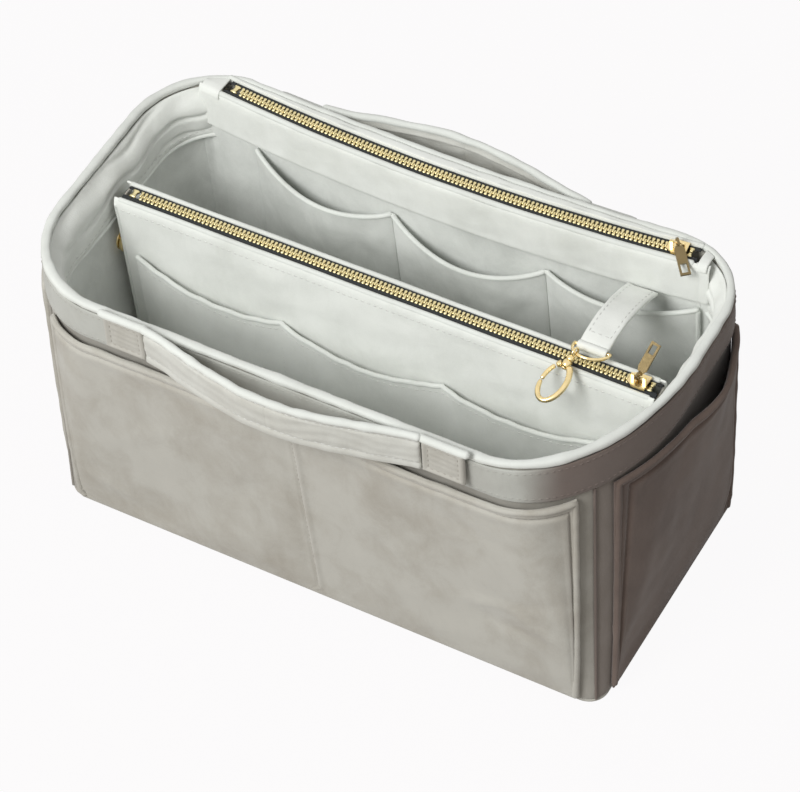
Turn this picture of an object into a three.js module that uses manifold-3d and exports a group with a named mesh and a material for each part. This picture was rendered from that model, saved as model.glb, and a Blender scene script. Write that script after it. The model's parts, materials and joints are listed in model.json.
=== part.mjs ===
// Purse organizer insert: an open fabric box with pockets, a zipped back pocket, a zipped middle pouch
// that hangs from two snaps, two low handles and a key strap with a swivel clasp.
// Millimetres. X runs along the long side, Y from front to back, Z up.
// The origin is the centre of the base, on the surface that the insert stands on.
import * as THREE from 'three';
import { mergeVertices } from 'three/addons/utils/BufferGeometryUtils.js';
import Module from 'manifold-3d';

const wasm = await Module();
wasm.setup();

// Driving dimensions of the box
const baseLength = 300;
const baseDepth = 148;
const baseCorner = 10;
const rimLength = 315;
const rimFront = 82.5;
const rimBack = 77.5;
const rimHeightFront = 165;
const rimHeightBack = 168;
const backBow = 3.5;
const rimCorners = {
  frontRight: { across: 62, deep: 95 },
  backRight: { across: 36, deep: 38 },
  backLeft: { across: 42, deep: 46 },
  frontLeft: { across: 50, deep: 52 },
};

// Cloth, board and clearances
const seamGap = 0.3;
const velour = 1.6;
const thinVelour = 1.2;
const felt = 2.4;
const board = 2.5;
const overrun = 0.2;
const foldEase = 0.1;
const faceLevel = 0;

// Bands of cloth along the top edge
const rollHeight = 4;
const bandHeight = 25;
const facingHeight = 34;
const liningDrop = 15;

// Outer pockets
const pocketDrop = 27;
const pocketMargin = 9;
const pocketLift = 0.7;
const pocketFoot = 3;
const longPocketMouth = 7;
const endPocketMouth = 12;

// Zip chain, the same on the back pocket and on the pouch
const zip = {
  pitch: 3.7,
  toothRoot: 1.2,
  toothTip: 0.9,
  engagement: 0.8,
  beadInner: 1.5,
  beadOuter: 2.9,
  thickness: 1.2,
  tapeFlat: 4.25,
  tapeWide: 4.4,
  tapeEdge: 5,
  tapeFall: 2.4,
  tapeThickness: 0.6,
  stopLength: 2.6,
  stopInner: 0.9,
  bottomStopLength: 3,
  bottomStopHeight: 2.2,
  tapeTail: 3,
};
const slider = {
  length: 9.6,
  halfWidth: 4.1,
  noseLength: 2.6,
  noseShare: 0.62,
  plate: 1,
  channel: 2.2,
  lip: 0.4,
  lipWidth: 0.6,
  postLength: 2.2,
  postWidth: 1.5,
  postAhead: 2.9,
  barHeight: 4.9,
  barRadius: 0.6,
  barLength: 7.2,
  legLength: 1.3,
};
const pull = {
  ringInner: 1.55,
  ringOuter: 2.35,
  ringThickness: 1.1,
  length: 17,
  width: 5,
  thickness: 1.2,
  windowLength: 4.6,
  windowWidth: 3,
  windowEnd: 1.2,
};

// Back zip line: a shallow arc that bows in towards the middle of the box
const backZip = {
  centreX: 3,
  endRoom: 32.5,
  middleY: 62.5,
  sagitta: 7,
  belowRim: 1.5,
  sliderInset: 8,
  pullSlew: 40,
  pullDrop: 20,
  stripInner: 4.7,
};
const zipPanel = {
  footRoomLeft: 20,
  footRoomRight: 16,
  topOverLeft: 8,
  topOverRight: 6,
  foot: 25,
  stripLeftIn: 8,
  stripRightIn: 6,
};

// Pouch
const pouch = {
  endRoom: 11.2,
  belowRim: 16.9,
  neckDrop: 3,
  gussetInset: 0.2,
  gussetDrop: 1,
  bottom: 15,
  halfDepth: 7.4,
  bulge: 4.5,
  cornerRadius: 12,
  zipEndInset: 6,
  sliderInset: 5,
  pocketSeamShares: [-0.936, -0.36, 0.255, 0.894],
  pocketDrops: [32.6, 38.1, 39.1, 36.6],
  pocketDip: 3.5,
  pocketMouth: 5.2,
  pocketFoot: 9,
  pullSlew: 14,
  pullRise: 42,
};

// Inner slip pockets on the back
const slip = {
  seamShares: [0.0909, 0.3871, 0.7034, 1],
  belowRim: [27, 34, 35.5, 29.5],
  dips: [9.5, 12.5, 4],
  mouth: 9,
  foot: 24,
};

// Snaps at the two ends of the pouch
const snap = {
  belowRim: 52.5,
  capRadius: 6.2,
  capHeight: 2.2,
  studRadius: 6,
  studPlate: 1,
  postRadius: 1.9,
  postLength: 2.2,
  socketRadius: 6.2,
  socketThickness: 3.4,
  recessRadius: 2.4,
  recessDepth: 2.9,
};

// Handles
const handle = {
  centreX: -4,
  tabInner: 73,
  tabWidth: 22,
  tabThickness: 2.6,
  tabDrop: 2.5,
  strapThickness: 3,
  strapWidth: 23,
  riseOverRim: 4,
  bow: 13,
  backDrop: 7.5,
};

// Key strap, ring, swivel and clasp
const keyStrap = {
  centreX: 107.5,
  width: 16,
  thickness: 2.2,
  zipRoom: 5.3,
  belowPouch: 5.1,
  reach: 51.2,
  rise: 9.1,
  loopInner: 1.15,
  loopOuter: 2.3,
};
const keyRing = {
  wire: 0.8,
  innerWidth: 16.8,
  reach: 10,
  tilt: 20,
};
const swivel = {
  offsetX: -5,
  eyeRadius: 2.3,
  eyeWire: 0.55,
  collarRadius: 1.8,
  collarLength: 2.4,
  stemRadius: 0.7,
  headRadius: 1.4,
  headLength: 0.9,
};
const clasp = {
  slope: 22,
  slew: 12,
  wire: 1.1,
  width: 14,
  length: 22,
  hubRadius: 2.2,
  hubBore: 1,
  hubLength: 3.4,
  ovalTop: 7,
  hookStart: 22,
  lugEnd: 40,
  gateStart: 45,
  gateEnd: 99,
  tipStart: 103,
  gateWire: 0.9,
};

// Heights and lengths that follow the rim and the base
const rimHeightMiddle = (rimHeightFront + rimHeightBack) / 2;
const endLean = (rimLength - baseLength) / 2 / rimHeightMiddle;
const backZipHalf = rimLength / 2 - backZip.endRoom;
const backZipLevel = rimHeightBack - backZip.belowRim;
const slipTops = slip.belowRim.map((drop) => rimHeightBack - drop);
const pouchTop = rimHeightMiddle - pouch.belowRim;
const pouchRoom = pouch.endRoom + Math.abs(endLean) * (snap.studRadius + snap.socketRadius);
const pouchTopHalf = baseLength / 2 + endLean * pouchTop - pouchRoom;
const pouchBottomHalf = baseLength / 2 + endLean * pouch.bottom - pouchRoom;
const pouchZipHalf = pouchTopHalf - pouch.zipEndInset;
const pouchPocketTops = pouch.pocketDrops.map((drop) => pouchTop - drop);
const snapLevel = rimHeightMiddle - snap.belowRim;
const keyRootY = backZip.middleY - keyStrap.zipRoom;
const keyRootZ = pouchTop - keyStrap.belowPouch;

// Share of a quarter circle's steps and the grids
const cornerSteps = 6;
const longSteps = 6;
const endSteps = 2;
const quarter = Math.PI / 2;
const fullTurn = 360;

// Materials
const velourSkin = new THREE.MeshStandardMaterial({ color: 0xc4c4bc, roughness: 0.95, metalness: 0 });
const liningSkin = new THREE.MeshStandardMaterial({ color: 0xb8bbb6, roughness: 0.95, metalness: 0 });
const feltSkin = new THREE.MeshStandardMaterial({ color: 0x9a9a96, roughness: 1, metalness: 0 });
const boardSkin = new THREE.MeshStandardMaterial({ color: 0x8a8578, roughness: 0.9, metalness: 0 });
const tapeSkin = new THREE.MeshStandardMaterial({ color: 0x17181a, roughness: 0.85, metalness: 0 });
const goldSkin = new THREE.MeshStandardMaterial({ color: 0xd2a24a, roughness: 0.25, metalness: 1 });
const pullSkin = new THREE.MeshStandardMaterial({ color: 0xc79a45, roughness: 0.28, metalness: 1 });

const model = new THREE.Group();

function lerp(from, to, share) {
  return from + (to - from) * share;
}

function radians(degrees) {
  return (degrees * Math.PI) / 180;
}

function addMesh(name, geometry, material, parent = model) {
  const mesh = new THREE.Mesh(geometry, material);
  mesh.name = name;
  parent.add(mesh);
  return mesh;
}

// A closed solid from triangles, turned so that its faces point out
function closedGeometry(points, triangles) {
  let volume = 0;
  for (const [a, b, c] of triangles) {
    volume += points[a].dot(points[b].clone().cross(points[c]));
  }
  const index = triangles.flatMap(([a, b, c]) => (volume < 0 ? [a, c, b] : [a, b, c]));
  const geometry = new THREE.BufferGeometry();
  geometry.setAttribute('position', new THREE.Float32BufferAttribute(points.flatMap((p) => p.toArray()), 3));
  geometry.setIndex(index);
  geometry.computeVertexNormals();
  return geometry;
}

// A sheet of cloth with two skins: at(column, row, skin) gives a point, skin is 0 or 1.
// A looped sheet joins its last column to its first one.
function sheet(columns, rows, at, looped = false) {
  const points = [];
  const wide = looped ? columns : columns + 1;
  const tall = rows + 1;
  for (const skin of [0, 1]) {
    for (let column = 0; column < wide; column += 1) {
      for (let row = 0; row < tall; row += 1) {
        points.push(new THREE.Vector3(...at(column, row, skin)));
      }
    }
  }
  const index = (column, row, skin) => (skin * wide + (column % wide)) * tall + row;
  const triangles = [];
  const quad = (a, b, c, d) => triangles.push([a, b, c], [a, c, d]);
  for (let column = 0; column < columns; column += 1) {
    for (let row = 0; row < rows; row += 1) {
      quad(index(column, row, 0), index(column, row + 1, 0), index(column + 1, row + 1, 0), index(column + 1, row, 0));
      quad(index(column, row, 1), index(column + 1, row, 1), index(column + 1, row + 1, 1), index(column, row + 1, 1));
    }
    quad(index(column, 0, 0), index(column + 1, 0, 0), index(column + 1, 0, 1), index(column, 0, 1));
    quad(index(column, rows, 0), index(column, rows, 1), index(column + 1, rows, 1), index(column + 1, rows, 0));
  }
  if (!looped) {
    for (let row = 0; row < rows; row += 1) {
      quad(index(0, row, 0), index(0, row, 1), index(0, row + 1, 1), index(0, row + 1, 0));
      quad(
        index(columns, row, 0),
        index(columns, row + 1, 0),
        index(columns, row + 1, 1),
        index(columns, row, 1),
      );
    }
  }
  return closedGeometry(points, triangles);
}

// A line of [a, b] points moved sideways by a distance, with mitred corners
function offsetLine(line, distance) {
  return line.map((point, k) => {
    const before = line[Math.max(k - 1, 0)];
    const after = line[Math.min(k + 1, line.length - 1)];
    const inDirection = new THREE.Vector2(point[0] - before[0], point[1] - before[1]).normalize();
    const outDirection = new THREE.Vector2(after[0] - point[0], after[1] - point[1]).normalize();
    const along = inDirection.clone().add(outDirection).normalize();
    const side = new THREE.Vector2(-along.y, along.x);
    const reference = k === 0 ? outDirection : inDirection;
    const reach = distance / Math.max(side.dot(new THREE.Vector2(-reference.y, reference.x)), 0.5);
    return [point[0] + side.x * reach, point[1] + side.y * reach];
  });
}

function toSolid(geometry) {
  const bare = geometry.clone();
  bare.deleteAttribute('normal');
  bare.deleteAttribute('uv');
  const merged = mergeVertices(bare.index ? bare.toNonIndexed() : bare);
  return new wasm.Manifold(
    new wasm.Mesh({
      numProp: 3,
      vertProperties: new Float32Array(merged.attributes.position.array),
      triVerts: new Uint32Array(merged.index.array),
    }),
  );
}

function fromSolid(solid) {
  const mesh = solid.getMesh();
  const geometry = new THREE.BufferGeometry();
  geometry.setAttribute('position', new THREE.BufferAttribute(mesh.vertProperties, 3));
  geometry.setIndex(new THREE.BufferAttribute(mesh.triVerts, 1));
  geometry.computeVertexNormals();
  return geometry;
}

function join(...geometries) {
  return fromSolid(geometries.map(toSolid).reduce((whole, piece) => whole.add(piece)));
}

function boxAt(sizeX, sizeY, sizeZ, x, y, z) {
  return new THREE.BoxGeometry(sizeX, sizeY, sizeZ).translate(x, y, z);
}

function shapeFrom(points) {
  return new THREE.Shape(points.map(([x, y]) => new THREE.Vector2(x, y)));
}

function extrude(shape, depth, steps = 3) {
  return new THREE.ExtrudeGeometry(shape, { depth, bevelEnabled: false, curveSegments: steps });
}

// Outline of the box. A station counts the eight stretches of the outline, from the left end of the
// front: 0 front, 1 front right corner, 2 right, 3 back right corner, 4 back, 5 back left corner,
// 6 left, 7 front left corner. Its fraction is the share of that stretch.
const stretches = 8;
const front = 0;
const frontRightCorner = 1;
const right = 2;
const backRightCorner = 3;
const back = 4;
const backLeftCorner = 5;
const left = 6;
const half = 0.5;

function rimHeight(station) {
  const turn = ((station % stretches) + stretches) % stretches;
  if (turn < frontRightCorner || turn > stretches - 1) {
    return rimHeightFront;
  }
  const toBack = Math.min(Math.max((turn - frontRightCorner) / right, 0), 1);
  const toFront = Math.min(Math.max((turn - backLeftCorner) / right, 0), 1);
  return lerp(rimHeightFront, rimHeightBack, toBack - toFront);
}

function plan(rise) {
  const corner = ({ across, deep }) => ({
    across: lerp(baseCorner, across, rise),
    deep: lerp(baseCorner, deep, rise),
  });
  return {
    end: lerp(baseLength, rimLength, rise) / 2,
    front: lerp(baseDepth / 2, rimFront, rise),
    back: lerp(baseDepth / 2, rimBack, rise),
    bow: lerp(0, backBow, rise),
    frontRight: corner(rimCorners.frontRight),
    backRight: corner(rimCorners.backRight),
    backLeft: corner(rimCorners.backLeft),
    frontLeft: corner(rimCorners.frontLeft),
  };
}

function onCorner(centreX, centreY, corner, startTurn, share, inset) {
  const turn = (startTurn + share) * quarter;
  return [
    centreX + (corner.across - inset) * Math.cos(turn),
    centreY + (corner.deep - inset) * Math.sin(turn),
  ];
}

// A point of the box's outer face at a station and height, moved in by an inset
function shell(station, height, inset) {
  const turn = ((station % stretches) + stretches) % stretches;
  const part = Math.floor(turn);
  const share = turn - part;
  const size = plan(height / rimHeight(turn));
  const { frontRight, backRight, backLeft, frontLeft } = size;
  let spot;
  if (part === front) {
    spot = [lerp(frontLeft.across - size.end, size.end - frontRight.across, share), inset - size.front];
  } else if (part === frontRightCorner) {
    spot = onCorner(size.end - frontRight.across, frontRight.deep - size.front, frontRight, -1, share, inset);
  } else if (part === right) {
    spot = [size.end - inset, lerp(frontRight.deep - size.front, size.back - backRight.deep, share)];
  } else if (part === backRightCorner) {
    spot = onCorner(size.end - backRight.across, size.back - backRight.deep, backRight, 0, share, inset);
  } else if (part === back) {
    const bow = size.bow * 4 * share * (1 - share);
    spot = [lerp(size.end - backRight.across, backLeft.across - size.end, share), size.back - bow - inset];
  } else if (part === backLeftCorner) {
    spot = onCorner(backLeft.across - size.end, size.back - backLeft.deep, backLeft, 1, share, inset);
  } else if (part === left) {
    spot = [inset - size.end, lerp(size.back - backLeft.deep, frontLeft.deep - size.front, share)];
  } else {
    spot = onCorner(frontLeft.across - size.end, frontLeft.deep - size.front, frontLeft, 2, share, inset);
  }
  return [...spot, height];
}

// How many millimetres one whole stretch is long
function stretchLength(part, height) {
  const start = shell(part, height, 0);
  const middle = shell(part + half, height, 0);
  const end = shell(part + 1 - 1e-6, height, 0);
  const leg = (a, b) => Math.hypot(a[0] - b[0], a[1] - b[1]);
  return leg(start, middle) + leg(middle, end);
}

// The station that lies a distance away from a corner's middle, towards the next or the last stretch
function stationFrom(cornerMiddle, distance, direction, height) {
  const corner = (((cornerMiddle - half) % stretches) + stretches) % stretches;
  const halfCorner = stretchLength(corner, height) / 2;
  if (distance < halfCorner) {
    return cornerMiddle + (direction * half * distance) / halfCorner;
  }
  const straight = (((corner + direction) % stretches) + stretches) % stretches;
  const beyond = (distance - halfCorner) / stretchLength(straight, height);
  return cornerMiddle + direction * (half + beyond);
}

function stepsIn(part) {
  const turn = ((part % stretches) + stretches) % stretches;
  if (turn % 2 === 1) {
    return cornerSteps;
  }
  return turn === front || turn === back ? longSteps : endSteps;
}

// The stations between two places, with more of them on the long sides and round the corners
function stationsBetween(from, to) {
  const list = [from];
  for (let part = Math.floor(from); part < to; part += 1) {
    for (let k = 0; k < stepsIn(part); k += 1) {
      const station = part + k / stepsIn(part);
      if (station > from + 0.01 && station < to - 0.01) {
        list.push(station);
      }
    }
  }
  list.push(to);
  return list;
}

function zipLineY(x) {
  const away = (x - backZip.centreX) / backZipHalf;
  return backZip.middleY + backZip.sagitta * away * away;
}

// Where the outer face of the back wall lies at an x
function backFaceY(x, height, inset) {
  const size = plan(height / rimHeightBack);
  const rightEnd = size.end - size.backRight.across;
  const leftEnd = size.backLeft.across - size.end;
  if (x > rightEnd || x < leftEnd) {
    const corner = x > rightEnd ? size.backRight : size.backLeft;
    const past = (x > rightEnd ? x - rightEnd : leftEnd - x) / (corner.across - inset);
    return size.back - corner.deep + (corner.deep - inset) * Math.sqrt(1 - past * past);
  }
  const share = (x - leftEnd) / (rightEnd - leftEnd);
  return size.back - size.bow * 4 * share * (1 - share) - inset;
}

// Insets of the layers of the walls, from the outer face inwards
const feltInset = velour + seamGap;
const liningInset = feltInset + felt + seamGap;
const liningFace = liningInset + thinVelour;
const facingInset = liningFace + seamGap;
const facingFace = facingInset + thinVelour;
const facingTopInset = velour + seamGap;

const wallFoot = velour + seamGap;
const boardFoot = wallFoot;
const liningFoot = boardFoot + board + seamGap;

// Floor
function floorPlate(inset, foot, thickness) {
  const x = baseLength / 2 - inset;
  const y = baseDepth / 2 - inset;
  const radius = baseCorner;
  const shape = new THREE.Shape();
  shape.moveTo(radius - x, -y);
  shape.lineTo(x - radius, -y);
  shape.absarc(x - radius, radius - y, radius, -quarter, 0, false);
  shape.lineTo(x, y - radius);
  shape.absarc(x - radius, y - radius, radius, 0, quarter, false);
  shape.lineTo(radius - x, y);
  shape.absarc(radius - x, y - radius, radius, quarter, 2 * quarter, false);
  shape.lineTo(-x, radius - y);
  shape.absarc(radius - x, radius - y, radius, 2 * quarter, 3 * quarter, false);
  return extrude(shape, thickness, cornerSteps).translate(0, 0, foot);
}

function addFloor() {
  addMesh('base_panel', floorPlate(0, faceLevel, velour), velourSkin);
  addMesh('base_board', floorPlate(liningInset, boardFoot, board), boardSkin);
  addMesh('base_lining', floorPlate(facingInset, liningFoot, thinVelour), liningSkin);
}

// One side of the box, from the middle of one corner to the middle of the next
function wallPiece(from, to, insets, foot, drop) {
  const stations = stationsBetween(from, to);
  const last = stations.length - 1;
  return sheet(last, 1, (column, row, skin) => {
    let station = stations[column];
    const height = row === 0 ? foot : rimHeight(station) - drop;
    if (column === 0) {
      station = stationFrom(from, seamGap / 2, 1, height);
    } else if (column === last) {
      station = stationFrom(to, seamGap / 2, -1, height);
    }
    return shell(station, height, insets[skin]);
  });
}

const sides = {
  front: { from: front - half, to: frontRightCorner + half },
  right: { from: frontRightCorner + half, to: backRightCorner + half },
  back: { from: backRightCorner + half, to: backLeftCorner + half },
  left: { from: backLeftCorner + half, to: left + 1 + half },
};

function addWalls() {
  for (const [side, { from, to }] of Object.entries(sides)) {
    const wall = wallPiece(from, to, [0, velour], wallFoot, rollHeight + seamGap);
    addMesh(`${side}_wall`, wall, velourSkin);
    const stiffener = wallPiece(from, to, [feltInset, feltInset + felt], wallFoot, liningDrop);
    addMesh(`${side}_stiffener`, stiffener, feltSkin);
  }
}

// A closed ring of cloth all the way round the box
function ringPiece(rows, at) {
  const stations = stationsBetween(0, stretches).slice(0, -1);
  return sheet(stations.length, rows, (column, row, skin) => {
    return at(stations[column % stations.length], row, skin);
  }, true);
}

function addLining() {
  const insets = [liningInset, liningFace];
  const lining = ringPiece(1, (station, row, skin) => {
    const height = row === 0 ? liningFoot : rimHeight(station) - liningDrop;
    return shell(station, height, insets[skin]);
  });
  addMesh('lining', lining, liningSkin);
}

const bandInset = -seamGap;
const bandFace = bandInset - thinVelour;

function addRimBand() {
  const insets = [bandInset, bandFace];
  const band = ringPiece(1, (station, row, skin) => {
    const height = rimHeight(station) - (row === 0 ? bandHeight : rollHeight + seamGap);
    return shell(station, height, insets[skin]);
  });
  addMesh('rim_band', band, velourSkin);
}

// The rolled edge is narrower along the back, where no facing is folded into it
function rollInnerInset(station) {
  const wide = facingTopInset + thinVelour;
  const narrow = velour + seamGap;
  const turn = ((station % stretches) + stretches) % stretches;
  const toBack = Math.min(Math.max(turn - backRightCorner, 0), 1);
  const fromBack = Math.min(Math.max(turn - backLeftCorner, 0), 1);
  return lerp(wide, narrow, toBack - fromBack);
}

function addRoll() {
  const bulgeOut = 0.25;
  const crown = 0.3;
  const roll = ringPiece(3, (station, row, skin) => {
    const outer = bandFace;
    const inner = rollInnerInset(station);
    const middle = (outer + inner) / 2;
    const quarterWidth = (inner - outer) / 4;
    const rise = [rollHeight, rollHeight / 2, crown, 0][row];
    const outerInset = [outer, outer - bulgeOut, middle - quarterWidth, middle - crown][row];
    const innerInset = [inner, inner + bulgeOut, middle + quarterWidth, middle + crown][row];
    return shell(station, rimHeight(station) - rise, skin === 0 ? outerInset : innerInset);
  });
  addMesh('rim_binding', roll, velourSkin);
}

// The facing hangs inside the left, front and right sides, from the roll down over the lining
const facingStart = -2.68;
const facingEnd = 3.66;

function addInnerFacing() {
  const stations = stationsBetween(facingStart, facingEnd);
  const facing = sheet(stations.length - 1, 2, (column, row, skin) => {
    const station = stations[column];
    const drop = [facingHeight, liningDrop, rollHeight + seamGap][row];
    const inset = row === 2 ? facingTopInset : facingInset;
    return shell(station, rimHeight(station) - drop, inset + skin * thinVelour);
  });
  addMesh('inner_facing', facing, velourSkin);
}

// Outer pockets. Each mouth gapes away from the wall, and each bay is drawn in at its seams.
const pocketRowShares = [0, 0.08, 0.2, 0.42, 0.7, 1];

function outerPocket(side, bays, mouth, columns) {
  const { from, to } = sides[side];
  return sheet(columns, pocketRowShares.length - 1, (column, row, skin) => {
    const share = column / columns;
    const up = pocketRowShares[row];
    const middle = lerp(from, to, share);
    const height = lerp(pocketFoot, rimHeight(middle) - pocketDrop, up);
    const first = stationFrom(from, pocketMargin, 1, height);
    const last = stationFrom(to, pocketMargin, -1, height);
    const bay = Math.abs(Math.sin(Math.PI * share * bays));
    const gape = mouth * Math.pow(bay, 0.8) * Math.pow(up, 1.6);
    const inset = -(pocketLift + gape + skin * velour);
    return shell(lerp(first, last, share), height, inset);
  });
}

function addOuterPockets() {
  addMesh('front_pocket', outerPocket('front', 2, longPocketMouth, 20), velourSkin);
  addMesh('back_pocket', outerPocket('back', 2, longPocketMouth, 20), velourSkin);
  addMesh('left_pocket', outerPocket('left', 1, endPocketMouth, 14), velourSkin);
  addMesh('right_pocket', outerPocket('right', 1, endPocketMouth, 14), velourSkin);
}

// The zipped back pocket: its inner panel stands away from the lining at the top, under the front tape
const foldOutline = [
  [8.2, -23],
  [7.9, -3.2],
  [7.2, -1.1],
  [5.6, 0.55],
];
const panelTopDrop = zip.tapeFall + zip.tapeThickness + seamGap;
const panelRearOffset = foldOutline[1][0] - 2 * thinVelour - seamGap;

// Across the zipped pocket's panel, whose foot follows the base and whose top follows the zip
function zipPanelX(share, height) {
  const up = (height - zipPanel.foot) / (backZipLevel - panelTopDrop - zipPanel.foot);
  const footLeft = zipPanel.footRoomLeft - baseLength / 2;
  const footRight = baseLength / 2 - zipPanel.footRoomRight;
  const topLeft = backZip.centreX - backZipHalf - zipPanel.topOverLeft;
  const topRight = backZip.centreX + backZipHalf + zipPanel.topOverRight;
  return lerp(lerp(footLeft, topLeft, up), lerp(footRight, topRight, up), share);
}

function panelRearY(x, height) {
  const left = zipPanelX(0, height);
  const across = (x - left) / (zipPanelX(1, height) - left);
  const foot = backFaceY(zipPanelX(across, zipPanel.foot), zipPanel.foot, liningFace) - seamGap;
  const top = zipLineY(x) - panelRearOffset;
  const share = (height - zipPanel.foot) / (backZipLevel - panelTopDrop - zipPanel.foot);
  const onLine = lerp(foot, top, share);
  return Math.min(onLine, backFaceY(x, height, liningFace) - seamGap);
}

function addZipPocket() {
  const columns = 12;
  const rows = 2;
  const top = backZipLevel - panelTopDrop;
  const panel = sheet(columns, rows, (column, row, skin) => {
    const height = lerp(zipPanel.foot, top, row / rows);
    const x = zipPanelX(column / columns, height);
    return [x, panelRearY(x, height) - skin * thinVelour, height];
  });
  addMesh('zip_pocket_panel', panel, liningSkin);

  const outer = foldOutline;
  const inner = offsetLine(foldOutline, thinVelour - foldEase);
  const facing = sheet(columns, outer.length - 1, (column, row, skin) => {
    const x = zipPanelX(column / columns, top);
    const [away, rise] = skin === 0 ? outer[row] : inner[row];
    return [x, zipLineY(x) - away, backZipLevel + rise];
  });
  addMesh('back_facing', facing, velourSkin);
}

function addZipRearStrip() {
  const columns = 12;
  const edgeInset = velour + seamGap * 3;
  const from = zipPanelX(0, backZipLevel) + zipPanel.stripLeftIn;
  const to = zipPanelX(1, backZipLevel) - zipPanel.stripRightIn;
  const strip = sheet(columns, 1, (column, row, skin) => {
    const x = lerp(from, to, column / columns);
    const y = row === 0 ? zipLineY(x) + backZip.stripInner : backFaceY(x, backZipLevel, edgeInset);
    return [x, y, backZipLevel + zip.tapeThickness / 2 + seamGap + skin * thinVelour];
  });
  addMesh('zip_rear_strip', strip, velourSkin);
}

// Inner slip pockets: each sags along its top edge and bellies away from the panel behind it
function addSlipPockets() {
  const columns = 8;
  const rows = 3;
  ['left', 'center', 'right'].forEach((name, k) => {
    const pocket = sheet(columns, rows, (column, row, skin) => {
      const share = column / columns;
      const up = row / rows;
      const belly = Math.pow(Math.sin(Math.PI * share), 0.8);
      const edge = lerp(slipTops[k], slipTops[k + 1], share) - slip.dips[k] * belly;
      const height = lerp(slip.foot, edge, up);
      const from = zipPanelX(slip.seamShares[k], height) + seamGap / 2;
      const to = zipPanelX(slip.seamShares[k + 1], height) - seamGap / 2;
      const x = lerp(from, to, share);
      const gape = slip.mouth * belly * Math.pow(up, 0.9);
      const face = panelRearY(x, height) - thinVelour - pocketLift;
      return [x, face - gape - skin * thinVelour, height];
    });
    addMesh(`inner_pocket_${name}`, pocket, liningSkin);
  });
}

// A row of zip teeth on its bead, with its top stop at the end. A track turns a distance along the
// zip and an offset across it into x and y.
function zipRow(track, start, end, lastTooth, hand) {
  const outline = [];
  const spans = 10;
  for (let k = 0; k <= spans; k += 1) {
    outline.push(track(lerp(start, end, k / spans), hand * zip.beadOuter));
  }
  outline.push(track(end, hand * zip.stopInner));
  outline.push(track(end - zip.stopLength, hand * zip.stopInner));
  outline.push(track(end - zip.stopLength, hand * zip.beadInner));
  const phase = hand > 0 ? 0 : zip.pitch / 2;
  for (let centre = lastTooth - phase; centre > start + zip.pitch / 2; centre -= zip.pitch) {
    outline.push(track(centre + zip.toothRoot / 2, hand * zip.beadInner));
    outline.push(track(centre + zip.toothTip / 2, -hand * zip.engagement));
    outline.push(track(centre - zip.toothTip / 2, -hand * zip.engagement));
    outline.push(track(centre - zip.toothRoot / 2, hand * zip.beadInner));
  }
  outline.push(track(start, hand * zip.beadInner));
  return extrude(shapeFrom(outline), zip.thickness);
}

// The front or rear tape: flat beside the teeth, then falling away under the cloth
function zipTape(track, start, end, hand, falls) {
  const columns = 12;
  const profile = [[zip.beadOuter + seamGap, 0]];
  if (falls) {
    profile.push([zip.tapeFlat, 0], [zip.tapeEdge, -zip.tapeFall]);
  } else {
    profile.push([zip.tapeWide, 0]);
  }
  const under = offsetLine(profile, -zip.tapeThickness / 2);
  const over = offsetLine(profile, zip.tapeThickness / 2);
  return sheet(columns, profile.length - 1, (column, row, skin) => {
    const [offset, rise] = skin === 0 ? under[row] : over[row];
    const [x, y] = track(lerp(start, end, column / columns), hand * offset);
    return [x, y, rise];
  });
}

// Slider about its own origin: it runs along X, and its wide end, with the post, looks to +X
function sliderBody() {
  const back = -slider.length / 2;
  const nose = slider.halfWidth * slider.noseShare;
  const outline = shapeFrom([
    [-back, -slider.halfWidth],
    [-back, slider.halfWidth],
    [back + slider.noseLength, slider.halfWidth],
    [back, nose],
    [back, -nose],
    [back + slider.noseLength, -slider.halfWidth],
  ]);
  const pieces = [
    extrude(outline, slider.plate).translate(0, 0, slider.channel / 2),
    extrude(outline, slider.plate).translate(0, 0, -slider.channel / 2 - slider.plate),
    boxAt(slider.postLength, slider.postWidth, slider.channel + overrun, slider.postAhead, 0, 0),
  ];
  const lipLength = slider.length - slider.noseLength;
  const lipY = slider.halfWidth - slider.lipWidth / 2;
  const lipHeight = slider.lip + overrun;
  for (const across of [-1, 1]) {
    for (const up of [-1, 1]) {
      const lipZ = up * (slider.channel / 2 - slider.lip + lipHeight / 2);
      pieces.push(boxAt(lipLength, slider.lipWidth, lipHeight, slider.noseLength / 2, across * lipY, lipZ));
    }
  }
  const barSides = 8;
  const bar = new THREE.CylinderGeometry(slider.barRadius, slider.barRadius, slider.barLength, barSides);
  pieces.push(bar.rotateZ(quarter).translate(0, 0, slider.barHeight));
  const plateTop = slider.channel / 2 + slider.plate;
  const legHeight = slider.barHeight - plateTop + overrun;
  for (const along of [-1, 1]) {
    const legX = (along * (slider.barLength - slider.legLength)) / 2;
    pieces.push(
      boxAt(slider.legLength, slider.barRadius * 2, legHeight, legX, 0, slider.barHeight - legHeight / 2),
    );
  }
  return join(...pieces);
}

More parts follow.
